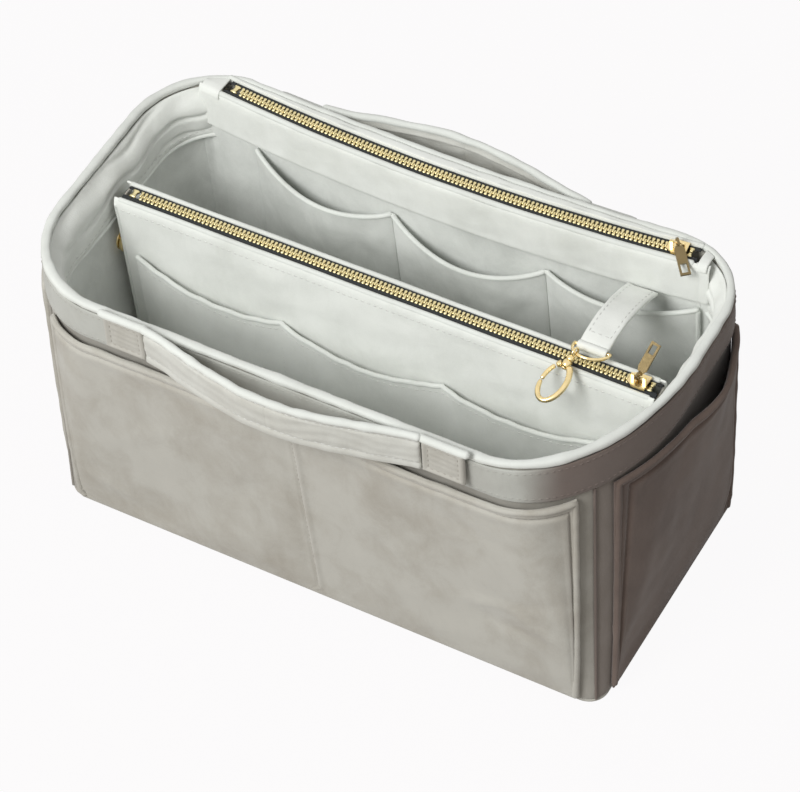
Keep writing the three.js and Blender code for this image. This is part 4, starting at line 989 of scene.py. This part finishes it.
def zip_set(prefix, track, level, half_length, slider_at, rear_falls, body):
    chain_end = slider_at + SLIDER_LENGTH / 2 + GAP + STOP_LENGTH
    chain_start = BOTTOM_STOP + GAP - half_length
    last_tooth = slider_at + POST_AHEAD - POST_LENGTH / 2 - PITCH / 2
    wide, high = soft_square(TOOTH_SIDES, 0.55, 0.5)

    def tooth(hand, centre, scale=(1, 1, 1), shift=0.0):
        offset, half_width, half_height = (np.repeat(column, TOOTH_SIDES) for column in TOOTH.T)
        x, y = track(centre + np.tile(wide, len(TOOTH)) * half_width * scale[0],
                     hand * (offset * scale[1] + shift))
        return np.stack([x, y, level + np.tile(high, len(TOOTH)) * half_height * scale[2]], -1), TOOTH_FACES

    def tape_base(profile, hand):
        def base(u, v):
            offset, rise = profile_point(profile, v)
            x, y = track(lerp(-half_length - TAPE_TAIL, chain_end + TAPE_TAIL, u), hand * offset)
            return np.stack([x, y, level + rise + x * 0], -1)
        return base

    add_parts(f"{prefix}_bottom_stop_metal",
              [tooth(hand, 1.7 - half_length, (2.2, 0.8, 1.15), 0.25) for hand in (-1, 1)],
              tooth_skin, body, f"{prefix}_zip_bottom_stop")
    along = np.linspace(chain_start, chain_end, 120)
    for label, hand in (("front", -1), ("rear", 1)):
        falls = hand < 0 or rear_falls
        profile, tape_width = (FALLING_TAPE, 5) if falls else (FLAT_TAPE, 2.2)
        cloth_sheet(f"{prefix}_tape_{label}_cloth", Cloth(tape_base(profile, hand)),
                    (chain_end + half_length + 2 * TAPE_TAIL, tape_width), 0.25, tape_skin, 1.6, body=body,
                    replaced=f"{prefix}_zip_tape_{label}")
        first_tooth = last_tooth - (0 if hand > 0 else PITCH / 2)
        teeth = [tooth(hand, centre) for centre in np.arange(first_tooth, chain_start + PITCH / 2, -PITCH)]
        # The last one is this side's top stop
        teeth.append(tooth(hand, chain_end - STOP_LENGTH / 2, (1.6, 0.72, 1.0), 0.85))
        add_parts(f"{prefix}_teeth_{label}_metal", teeth, tooth_skin, body, f"{prefix}_zip_teeth_{label}")
        x, y = track(along, hand * CORD_OFFSET)
        tube(f"{prefix}_cord_{label}", np.stack([x, y, np.full_like(along, level)], -1), 0.5, tape_skin,
             body, 8)


POUCH_TOP = 149.6
POUCH_ZIP_HALF = 139.0
zip_set("back", arc_track, ZIP_LEVEL, ZIP_HALF, ZIP_HALF - 8, False, "box")
zip_set("pouch", straight_track, POUCH_TOP, POUCH_ZIP_HALF, POUCH_ZIP_HALF - 5, True, "pouch")

# Pouch
POUCH_TOP_HALF, POUCH_BOTTOM_HALF, POUCH_BOTTOM = 145.0, 139.0, 15.0
POUCH_DEPTH, POUCH_BULGE, POUCH_CORNER = 7.4, 4.5, 12.0
POUCH_NECK = POUCH_TOP - 3
POUCH_BODY_SHARE = 0.95


def pouch_half_length(height):
    share = (height - POUCH_BOTTOM) / (POUCH_TOP - POUCH_BOTTOM)
    into = np.clip(POUCH_BOTTOM + POUCH_CORNER - height, 0, POUCH_CORNER)
    half = lerp(POUCH_BOTTOM_HALF, POUCH_TOP_HALF, share) - POUCH_CORNER
    return half + np.sqrt(POUCH_CORNER ** 2 - into ** 2)


def pouch_away(length_share, height):
    up = np.clip((height - POUCH_BOTTOM) / (POUCH_NECK - POUCH_BOTTOM), 0, 1)
    return POUCH_DEPTH + POUCH_BULGE * arch(length_share, 0.7) * np.sin(math.pi * up)


def pouch_base(hand):
    """A side of the pouch, whose last share is the fold beside the zip"""
    def base(u, v):
        body_v = np.clip(v / POUCH_BODY_SHARE, 0, 1)
        height = lerp(POUCH_BOTTOM, POUCH_TOP - 3.2, body_v)
        away = lerp(pouch_away(u, height), 7.9, smooth((body_v - 0.93) / 0.07))
        top_v = np.clip((v - POUCH_BODY_SHARE) / (1 - POUCH_BODY_SHARE), 0, 1)
        top_away, top_rise = profile_point(FOLD_LINE[8:], top_v)
        away = np.where(v > POUCH_BODY_SHARE, top_away, away)
        height = np.where(v > POUCH_BODY_SHARE, POUCH_TOP + top_rise - 0.3, height)
        x = lerp(-1, 1, u) * pouch_half_length(np.minimum(height, POUCH_TOP))
        return np.stack([x, hand * (away - THIN / 2 * smooth((1 - v) / 0.03)), height], -1)
    return base


def pouch_crease(seed):
    def crease(u, v, p):
        fade = smooth(inward(u) / 0.05) * smooth(v / 0.06) * smooth((0.96 - v) / 0.08)
        return fade * waves(p, (0.45, 48, seed, (1, 1, 1.6)), (0.15, 15, seed + 1))
    return crease


for label, hand, seed in (("front", -1, 81), ("rear", 1, 83)):
    cloth = Cloth(pouch_base(hand), -hand, pouch_crease(seed))
    cloth_sheet(f"pouch_{label}_cloth", cloth, (288, 138), THIN / 2, pale_skin, 3.0, body="pouch",
                replaced=f"pouch_{label}_panel")
    sew(f"pouch_{label}_stitch", cloth, np.linspace(0.012, 0.988, 220), 0.935, THIN / 2, body="pouch")
    for end_label, share in (("left", 0.004), ("right", 0.996)):
        trim(f"pouch_{label}_piping_{end_label}", cloth, share, np.linspace(0.02, 0.95, 90), 1.1, body="pouch",
             sides=8)

fold_xs = np.linspace(-POUCH_ZIP_HALF - 3, POUCH_ZIP_HALF + 2.5, 220)
for label, hand in (("front", -1), ("rear", 1)):
    levels = POUCH_TOP - 0.5 + 0.15 * np.sin(fold_xs / 11 + hand)
    tube(f"pouch_zip_fold_{label}", np.stack([fold_xs, hand * (5.75 + 0 * fold_xs), levels], -1), 1.3,
         binding_skin, "pouch", 12)


def gusset_base(u, v):
    """A band round the two ends and the bottom"""
    corner_top = POUCH_BOTTOM + POUCH_CORNER
    turn = np.linspace(0, 1, 9)[1:]
    heights = np.concatenate([np.linspace(POUCH_NECK - 1, corner_top, 30),
                              POUCH_BOTTOM + POUCH_CORNER * (1 - np.sin(turn * QUARTER))])
    right = np.stack([pouch_half_length(heights) - 0.2 - THIN / 2,
                      heights + THIN / 2 * smooth((corner_top - heights) / POUCH_CORNER)], -1)
    x, z = profile_point(np.concatenate([right, right[::-1] * [-1, 1]]), np.clip(u, 0, 1))
    return np.stack([x, lerp(-5.9, 5.9, v), z], -1)


cloth_sheet("pouch_gusset_cloth", Cloth(gusset_base), (540, 11.8), THIN / 2, velour_skin, 3.0, body="pouch",
            replaced="pouch_gusset")

POUCH_SEAMS = np.array([-0.936, -0.36, 0.255, 0.894])
POUCH_POCKET_TOPS = np.array([117.0, 111.5, 110.5, 113.0])
POUCH_POCKET_DIP, POUCH_POCKET_MOUTH, POUCH_POCKET_FOOT = 3.5, 5.2, 9.0


def pouch_pocket_base(u, v):
    at = np.clip(u, 0, 1) * 3
    bay = np.clip(np.floor(at), 0, 2).astype(int)
    share = at - bay
    belly = arch(share, 0.8)
    edge = lerp(POUCH_POCKET_TOPS[bay], POUCH_POCKET_TOPS[bay + 1], share) - POUCH_POCKET_DIP * belly
    height = lerp(POUCH_BOTTOM + POUCH_POCKET_FOOT, edge, v)
    across = lerp(POUCH_SEAMS[bay], POUCH_SEAMS[bay + 1], share)
    away = pouch_away((across + 1) / 2, height) + POCKET_LIFT + POUCH_POCKET_MOUTH * belly * np.clip(v, 0, 1)
    return np.stack([across * pouch_half_length(height), -(away + THIN / 2), height], -1)


def pouch_pocket_crease(u, v, p):
    fade = smooth(inward(np.mod(u * 3, 1)) / 0.12) * smooth(v / 0.1)
    return fade * waves(p, (0.4, 30, 91), (0.15, 11, 92))


pouch_pocket = Cloth(pouch_pocket_base, 1, pouch_pocket_crease)
pocket = cloth_sheet("pouch_pocket_cloth", pouch_pocket, (276, 78), THIN / 2, pale_skin, 2.6, body="pouch",
                     replaced="pouch_pocket_panel")
along = np.linspace(0.003, 0.997, 260)
trim("pouch_pocket_binding", pouch_pocket, along, 0.995, 1.3, body="pouch")
sew("pouch_pocket_stitch", pouch_pocket, along, 0.955, THIN / 2, body="pouch")
for label, share in (("first", 1 / 3), ("second", 2 / 3)):
    sew(f"pouch_pocket_seam_{label}", pouch_pocket, share + 1e-4, np.linspace(0.02, 0.94, 60), THIN / 2,
        body="pouch")

# Handles
HANDLE_X, HANDLE_INNER, HANDLE_TAB = -4.0, 73.0, 22.0
STRAP_THICK, STRAP_WIDE, HANDLE_BOW = 3.0, 23.0, 13.0
TAB_THICK, TAB_DROP = 2.6, 2.5
TAB_WIDE = STRAP_WIDE - TAB_DROP
HANDLE_SEAT = THIN + 3 * GAP
# A square of stitches on a tab, as shares of its sides
TAB_LOW, TAB_HIGH = np.full(20, 0.15), np.full(20, 0.85)
TAB_RISE = np.linspace(0.15, 0.85, 20)
TAB_U = np.concatenate([TAB_RISE, TAB_HIGH, TAB_RISE[::-1], TAB_LOW])
TAB_V = np.concatenate([TAB_LOW, TAB_RISE, TAB_HIGH, TAB_RISE[::-1]])


def strap_base(first, last, top, wide, thick, bow, hand, belly=0.0):
    """A flat band against the rim band, which may stand off in a bow"""
    def base(u, v):
        x = lerp(first, last, u)
        if hand < 0:
            seat = plan(min(top, RIM_HEIGHT_FRONT) / RIM_HEIGHT_FRONT)["front"]
        else:
            seat = back_face_y(x, min(top, RIM_HEIGHT_BACK), 0)
        away = seat + HANDLE_SEAT + bow * arch(u, 1.3) + thick / 2
        round_out = belly * np.sin(math.pi * np.clip(v, 0, 1))
        return np.stack([x, hand * (away + round_out), top - wide * (1 - v)], -1)
    return base


def strap_crease(seed):
    """Rolled edges, two sewn grooves and soft ridges between them"""
    def crease(u, v, p):
        rolls = 0.8 * hill(v, 0.93, 0.055) + 0.6 * hill(v, 0.07, 0.055)
        grooves = 0.6 * hill(v, 0.8, 0.028) + 0.5 * hill(v, 0.2, 0.028)
        ridges = 0.22 * np.sin(FULL_TURN * (4.5 * v + 0.35 * ripple(p, 36, seed + 5)))
        return rolls - grooves + ridges * smooth(inward(v) / 0.25) + 0.15 * ripple(p, 16, seed)
    return crease


def tab_crease(u, v, p):
    """A raised edge all round, and ribs across the middle"""
    edge = np.minimum(inward(u) * HANDLE_TAB, inward(v) * TAB_WIDE)
    ribs = 0.13 * np.cos(v * FULL_TURN * 6 + 0.5 * ripple(p, 14, 109)) * smooth((edge - 3) / 1.5)
    return 0.55 * hill(edge, 1.4, 1.1) - 0.3 * hill(edge, 3.3, 0.7) + ribs


def part_of(base, first, last):
    return lambda u, v: base(lerp(first, last, u), v)


for label, hand, top in (("front", -1, RIM_HEIGHT_FRONT + 4), ("back", 1, RIM_HEIGHT_BACK - 3.5)):
    end = HANDLE_INNER - GAP
    whole = strap_base(HANDLE_X - end, HANDLE_X + end, top, STRAP_WIDE, STRAP_THICK, HANDLE_BOW, hand, 0.5)
    # Each half reaches from its tab past the middle. The right half is
    # a little thinner, so that the faces don't meet where the halves overlap.
    for half_label, sign, from_u, to_u, thinner, along in (
        ("left", -1, 0.0, 0.508, 0.0, np.linspace(0.012, 0.99, 90)),
        ("right", 1, 0.492, 1.0, 0.04, np.linspace(0.01, 0.988, 90)),
    ):
        half = Cloth(part_of(whole, from_u, to_u), -hand, strap_crease(101 + hand))
        parts = [cloth_sheet(f"{label}_handle_strap_{half_label}_cloth", half, (76, STRAP_WIDE),
                             STRAP_THICK / 2 - thinner, strap_skin, 1.5, body=None,
                             replaced=f"{label}_handle_strap", seams_v=(STRAP_WIDE * 0.2, STRAP_WIDE * 0.8))]
        parts.append(trim(f"{label}_handle_roll_{half_label}", half, along, 0.945, 2.0 - thinner, body=None,
                          sides=14, wobble=(12, 107 + hand)))
        for row, share in (("low", 0.2), ("high", 0.8)):
            parts.append(sew(f"{label}_handle_stitch_{row}_{half_label}", half, along, share,
                             STRAP_THICK / 2 * 0.98, body=None))
        for part in parts:
            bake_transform(part)
    for tab_label, first in (
        ("left", HANDLE_X - HANDLE_INNER - HANDLE_TAB), ("right", HANDLE_X + HANDLE_INNER),
    ):
        tab = Cloth(strap_base(first, first + HANDLE_TAB, top - TAB_DROP, TAB_WIDE, TAB_THICK, 0, hand), -hand,
                    tab_crease)
        cloth_sheet(f"{label}_handle_tab_{tab_label}_cloth", tab, (HANDLE_TAB, TAB_WIDE), TAB_THICK / 2,
                    tab_skin, 0.7, replaced=f"{label}_handle_tab_{tab_label}")
        wide = np.linspace(-0.04, 1.04, 24)
        points, normals = tab.at(np.clip(wide, 0, 1), 0.97)
        points[:, 0] = first + HANDLE_TAB * wide
        tube(f"{label}_handle_tab_roll_{tab_label}", points + [0, 0, 1.0], 2.0, binding_skin, sides=14,
             up=normals)
        sew(f"{label}_handle_tab_stitch_{tab_label}", tab, TAB_U, TAB_V, TAB_THICK / 2, wall_thread_skin)

# Key strap
KEY_X, KEY_WIDTH, KEY_THICK = 107.5, 16.0, 2.2
KEY_ROOT = np.array([57.2, 144.5])
KEY_REACH, KEY_RISE = 51.2, 9.1
KEY_ROUTE = np.array([[0, 0], [0.15, 0.45], [0.37, 0.9], [0.63, 1.2], [0.86, 1.16], [0.97, 1]])
RING_Y, RING_Z = KEY_ROOT + [-KEY_REACH, KEY_RISE]


def key_strap_line():
    """Middle line of the strap in Y and Z, smoothed"""
    route = KEY_ROUTE * [-KEY_REACH, KEY_RISE] + KEY_ROOT
    lengths = running_length(route)
    line = sample(route, lengths, np.linspace(0, lengths[-1], 60))
    for _ in range(14):
        line[1:-1] = (line[:-2] + 2 * line[1:-1] + line[2:]) / 4
    return line


def key_base(line, width, narrowing=0.0):
    def base(u, v):
        y, z = profile_point(line, np.clip(u, 0, 1))
        return np.stack([KEY_X + (v - 0.5) * width * (1 - narrowing * np.clip(u, 0, 1)), y, z], -1)
    return base


key_cloth = Cloth(key_base(key_strap_line(), KEY_WIDTH, 0.06), -1,
                  lambda u, v, p: waves(p, (0.25, 20, 111)) * smooth(inward(v) / 0.2))
cloth_sheet("key_strap_cloth", key_cloth, (58, KEY_WIDTH), KEY_THICK / 2, pale_skin, 1.8, body="key_strap",
            replaced="key_strap")
along = np.linspace(0.03, 0.9, 60)
for label, u, v in (("left", along, 0.14), ("right", along, 0.86), ("end", 0.88, np.linspace(0.14, 0.86, 12))):
    sew(f"key_strap_stitch_{label}", key_cloth, u, v, KEY_THICK / 2 * 0.97, body="key_strap", upward=True)
# The sewn loop at the strap's end, which goes round the ring's bar
turns = np.linspace(math.radians(-150), math.radians(150), 40)
loop_line = np.stack([RING_Y - 1.72 * np.cos(turns), RING_Z + 1.72 * np.sin(turns)], -1)
cloth_sheet("key_strap_loop_cloth", Cloth(key_base(loop_line, KEY_WIDTH * 0.94)), (9, KEY_WIDTH), 0.55,
            pale_skin, 0.8, body="key_strap")

# Metal pieces of the key strap
RING = {"wire": 0.8, "half": 16.8 / 2 + 0.8, "reach": 10.0, "tilt": math.radians(20.0)}
CLASP = {"slope": 22.0, "slew": 12.0, "wire": 1.1, "width": 14.0, "length": 22.0, "hub": 2.2, "bore": 1.0,
         "hub_length": 3.4, "oval_top": 7.0, "hook_start": 22, "lug_end": 40, "gate_start": 45, "gate_end": 99,
         "tip_start": 103, "gate_wire": 0.9}
SWIVEL = {"offset": -5.0, "eye": 2.3, "wire": 0.55, "collar": 1.8, "collar_length": 2.4, "stem": 0.7,
          "head": 1.4, "head_length": 0.9}
ring_matrix = Matrix.Translation((KEY_X, RING_Y, RING_Z)) @ Matrix.Rotation(-RING["tilt"], 4, "X")
turns = np.linspace(0, math.pi, 40)
bend = np.stack([RING["half"] * np.cos(turns), -RING["reach"] * np.sin(turns), turns * 0], -1)
bar = np.linspace(1.0 - RING["half"], RING["half"] - 1.0, 12)[:, None] * [1, 0, 0]
add_piece("key_ring_metal",
          *tube_parts(placed(np.concatenate([bend, bar]), ring_matrix), RING["wire"], 14,
                      np.array(ring_matrix.to_3x3())[:, 2], closed=True),
          gold_skin, "key_ring", "key_ring")
swivel_away = RING["reach"] * math.sqrt(1 - (SWIVEL["offset"] / RING["half"]) ** 2)
clasp_matrix = (
    Matrix.Translation((KEY_X + SWIVEL["offset"], RING_Y - swivel_away * math.cos(RING["tilt"]),
                        RING_Z + swivel_away * math.sin(RING["tilt"])))
    @ Matrix.Rotation(-math.radians(CLASP["slew"]), 4, "Z")
    @ Matrix.Rotation(math.radians(CLASP["slope"]), 4, "X")
)


def turned(profile):
    """A turned part of the clasp, whose axis points away from the ring"""
    points, faces = lathe(profile, 28)
    return placed(points, clasp_matrix @ Matrix.Rotation(QUARTER, 4, "X")), faces


def clasp_wire(line, radius, sides=14, up=(0, 0, 1), closed=False):
    points, faces = tube_parts(line, radius, sides, up, closed)
    return placed(points, clasp_matrix), faces


def oval_wire(from_degrees, to_degrees, count, wire, shares, scales):
    """A wire along part of the clasp's oval, with its thickness given at shares of its length"""
    turn = np.radians(np.linspace(from_degrees, to_degrees, count))
    across = CLASP["width"] / 2 - CLASP["wire"]
    along = CLASP["length"] / 2 - CLASP["wire"]
    line = np.stack([across * np.sin(turn), -CLASP["oval_top"] - along + along * np.cos(turn), turn * 0], -1)
    return clasp_wire(line, wire * np.interp(np.linspace(0, 1, count), shares, scales))


collar_start = SWIVEL["eye"]
collar_end = collar_start + SWIVEL["collar_length"]
hub_start = collar_end + GAP
hub_end = hub_start + CLASP["hub_length"]
head_start = hub_end + GAP
collar, stem, head, hub, bore = SWIVEL["collar"], SWIVEL["stem"], SWIVEL["head"], CLASP["hub"], CLASP["bore"]
eye_turns = np.arange(28) / 28 * FULL_TURN
eye_line = SWIVEL["eye"] * np.stack([eye_turns * 0, np.cos(eye_turns), np.sin(eye_turns)], -1)
swivel_profile = [
    (0, collar_start), (collar * 0.8, collar_start), (collar, collar_start + 0.3), (collar, collar_end - 0.3),
    (collar * 0.85, collar_end), (stem, collar_end), (stem, head_start), (head, head_start),
    (head * 0.9, head_start + 0.55), (0, head_start + SWIVEL["head_length"]),
]
hub_profile = [
    (bore, hub_start), (hub * 0.86, hub_start), (hub, hub_start + 0.4), (hub, hub_end - 0.5),
    (hub * 0.8, hub_end), (bore, hub_end), (bore, hub_start),
]
add_parts("swivel_metal", [clasp_wire(eye_line, SWIVEL["wire"], 12, (1, 0, 0), True), turned(swivel_profile)],
          gold_skin, "swivel", "swivel")
hook = oval_wire(CLASP["hook_start"], 360 - CLASP["tip_start"], 60, CLASP["wire"], [0, 0.15, 0.5, 0.9, 0.97, 1],
                 [1.5, 1.3, 1.2, 1.15, 1.0, 0.7])
lug = oval_wire(-CLASP["hook_start"], -CLASP["lug_end"], 10, CLASP["wire"], [0, 0.8, 1], [1.7, 1.3, 0.9])
gate = oval_wire(-CLASP["gate_start"], -CLASP["gate_end"], 24, CLASP["gate_wire"], [0, 0.08, 0.92, 1],
                 [0.95, 1.2, 1.2, 0.9])
add_parts("clasp_hook_metal", [turned(hub_profile), hook, lug], gold_skin, "clasp", "clasp_hook")
add_parts("clasp_gate_metal", [gate], gold_skin, "clasp_gate", "clasp_gate")

# Snaps
SNAP_LEVEL, CAP_RADIUS, STUD_RADIUS, SOCKET_RADIUS = 114.0, 6.2, 6.0, 6.2
SNAP_PROFILES = {
    "snap_cap": [(0, 0), (6.2, 0), (6.2, 0.5), (5.9, 0.9), (5.2, 1.35), (4.2, 1.75), (2.8, 2.05), (1.2, 2.18),
                 (0, 2.2)],
    "snap_stud": [(0, 0), (6.0, 0), (6.0, 0.5), (5.6, 0.95), (4.6, 1.0), (3.4, 0.75), (2.4, 0.9), (1.7, 1.3),
                  (1.6, 2.2), (1.9, 2.7), (1.7, 3.1), (1.0, 3.2), (0, 3.2)],
    "pouch_snap_socket": [(0, 0), (6.2, 0), (6.2, 2.4), (5.8, 3.1), (4.9, 3.4), (3.6, 3.3), (2.9, 3.4),
                          (2.4, 3.0), (2.4, 0.5), (0, 0.5)],
}


def end_face_x(height, inset):
    return plan(height / ((RIM_HEIGHT_FRONT + RIM_HEIGHT_BACK) / 2))["end"] - inset


for label, hand in (("left", -1), ("right", 1)):
    for kind, x, outward, body in (
        ("snap_cap", end_face_x(SNAP_LEVEL + CAP_RADIUS, 0) + GAP, 1, "box"),
        ("snap_stud", end_face_x(SNAP_LEVEL - STUD_RADIUS, LINING_FACE) - GAP, -1, "box"),
        ("pouch_snap_socket", float(pouch_half_length(SNAP_LEVEL + SOCKET_RADIUS)) + GAP, 1, "pouch"),
    ):
        turn = Matrix.Rotation(hand * outward * QUARTER, 4, "Y")
        matrix = Matrix.Translation((hand * x, 0, SNAP_LEVEL)) @ turn
        points, faces = lathe(SNAP_PROFILES[kind], 48)
        add_piece(f"{kind}_{label}_metal", placed(points, matrix), faces, gold_skin, body, f"{kind}_{label}")

# Metal pieces that keep their solids get rounded edges
for name in ("back_zip_slider", "pouch_zip_slider", "back_zip_pull", "pouch_zip_pull"):
    bevel = nodes[name].modifiers.new("bevel", "BEVEL")
    bevel.width = 0.22 * MM
    bevel.segments = 3
    bevel.limit_method = "ANGLE"
    bevel.angle_limit = math.radians(35)
    bevel.harden_normals = False
    nodes[name].data.polygons.foreach_set("use_smooth", np.ones(len(nodes[name].data.polygons), bool))


# Base: panel and lining
def plate(name, inset, foot, thick, material, replaced, seed):
    """A flat piece with rounded corners and edges, slightly wavy on top"""
    half_x, half_y = BASE_LENGTH / 2 - inset, BASE_DEPTH / 2 - inset
    angles = np.concatenate([np.linspace(start, start + 1, 9) for start in range(4)]) * QUARTER
    centres = np.repeat([(1, 1), (-1, 1), (-1, -1), (1, -1)], 9, axis=0) * [half_x - BASE_CORNER,
                                                                            half_y - BASE_CORNER]
    outline = centres + BASE_CORNER * np.stack([np.cos(angles), np.sin(angles)], -1)
    half = thick / 2
    near_edge = 1 - half * 0.3 / half_y
    rings = []
    for share, z in ((0.02, -half), (0.5, -half), (near_edge, -half), (1.0, -half * 0.4), (1.0, half * 0.4),
                     (near_edge, half), (0.9, half), (0.7, half), (0.5, half), (0.3, half), (0.02, half)):
        ring = np.column_stack([outline * share, np.full(len(outline), foot + half + z)])
        if z > 0 and share < 0.95:
            ring[:, 2] += 0.12 * ripple(ring, 60, seed)
        rings.append(ring)
    add_piece(name, np.concatenate(rings), ring_faces(len(rings), len(outline)), material, replaced=replaced)


plate("base_panel_cloth", 0, 0, VELOUR, velour_skin, "base_panel", 121)
plate("base_lining_cloth", FACING_INSET, LINING_FOOT, THIN, lining_skin, "base_lining", 122)

# Floor
FLOOR_HALF = 40.0
FLOOR_WHITE_SHARE = 0.95
floor_mesh = bpy.data.meshes.new("floor")
floor_corners = [(x * FLOOR_HALF, y * FLOOR_HALF, 0) for x, y in ((-1, -1), (1, -1), (1, 1), (-1, 1))]
floor_mesh.from_pydata(floor_corners, [], [(0, 1, 2, 3)])
floor = bpy.data.objects.new("floor", floor_mesh)
bpy.context.scene.collection.objects.link(floor)


def seen_directly(tree):
    """One for the camera's own view and what metal mirrors, nought for light that surfaces pass on"""
    path = tree.nodes.new("ShaderNodeLightPath")
    total = path.outputs["Is Camera Ray"]
    for name in ("Is Glossy Ray", "Is Transmission Ray"):
        adding = tree.nodes.new("ShaderNodeMath")
        adding.operation = "ADD"
        adding.use_clamp = True
        tree.links.new(total, adding.inputs[0])
        tree.links.new(path.outputs[name], adding.inputs[1])
        total = adding.outputs[0]
    return total


def mix_shaders(tree, share, first, second, target):
    mix = tree.nodes.new("ShaderNodeMixShader")
    for source, socket in ((share, mix.inputs["Fac"]), (first, mix.inputs[1]), (second, mix.inputs[2])):
        tree.links.new(source, socket)
    tree.links.new(mix.outputs[0], target)


s = Skin("floor")
put(s.shader, Base_Color=(0.42, 0.40, 0.38, 1), Roughness=0.9, Specular_IOR_Level=0.1)
white = s.make("Emission", Color=(1.0, 0.99, 0.995, 1), Strength=1.0)
mix_shaders(s.tree, s.math("MULTIPLY", seen_directly(s.tree), FLOOR_WHITE_SHARE), s.shader.outputs[0],
            white.outputs[0], s.out.inputs["Surface"])
floor_mesh.materials.append(s.material)

# World and light
world = bpy.data.worlds.new("studio")
bpy.context.scene.world = world
world.use_nodes = True
tree = world.node_tree
ambient = put(tree.nodes["Background"], Color=(1.0, 0.985, 0.97, 1), Strength=0.44)
backdrop = put(tree.nodes.new("ShaderNodeBackground"), Color=(0.985, 0.98, 0.985, 1), Strength=1.0)
mix_shaders(tree, seen_directly(tree), ambient.outputs[0], backdrop.outputs[0],
            tree.nodes["World Output"].inputs["Surface"])


def looking(spot, away, roll=0.0):
    """A place and turn for a lamp or camera, from the direction back to it from what it looks at"""
    away = unit(np.array(away, float))
    level = unit(np.cross([0, 0, 1], away))
    right = math.cos(roll) * level + math.sin(roll) * np.cross(away, level)
    turn = Matrix((right, np.cross(away, right), away)).transposed().to_4x4()
    return Matrix.Translation(spot) @ turn


KEY_SPOT, KEY_AIM = (-0.38, -1.3, 1.5), (0, 0, 0.08)
light = bpy.data.lights.new("key", "AREA")
light.shape = "DISK"
light.size = 0.9
light.energy = 30.0
light.color = (1.0, 1.0, 0.99)
lamp = bpy.data.objects.new("key", light)
bpy.context.scene.collection.objects.link(lamp)
lamp.matrix_world = looking(KEY_SPOT, np.subtract(KEY_SPOT, KEY_AIM))

# Camera at the photograph's angle
camera_data = bpy.data.cameras.new("camera")
camera_data.lens = 162.0
camera_data.sensor_width = 36.0
camera_data.sensor_fit = "HORIZONTAL"
camera_data.clip_start = 0.05
camera_data.clip_end = 100.0
camera = bpy.data.objects.new("camera", camera_data)
bpy.context.scene.collection.objects.link(camera)
camera.matrix_world = looking((0.621090, -0.974691, 1.380159), (0.35363962, -0.55965825, 0.74948093),
                              math.radians(-4.25))
bpy.context.scene.camera = camera
bpy.context.scene.view_settings.view_transform = "Standard"
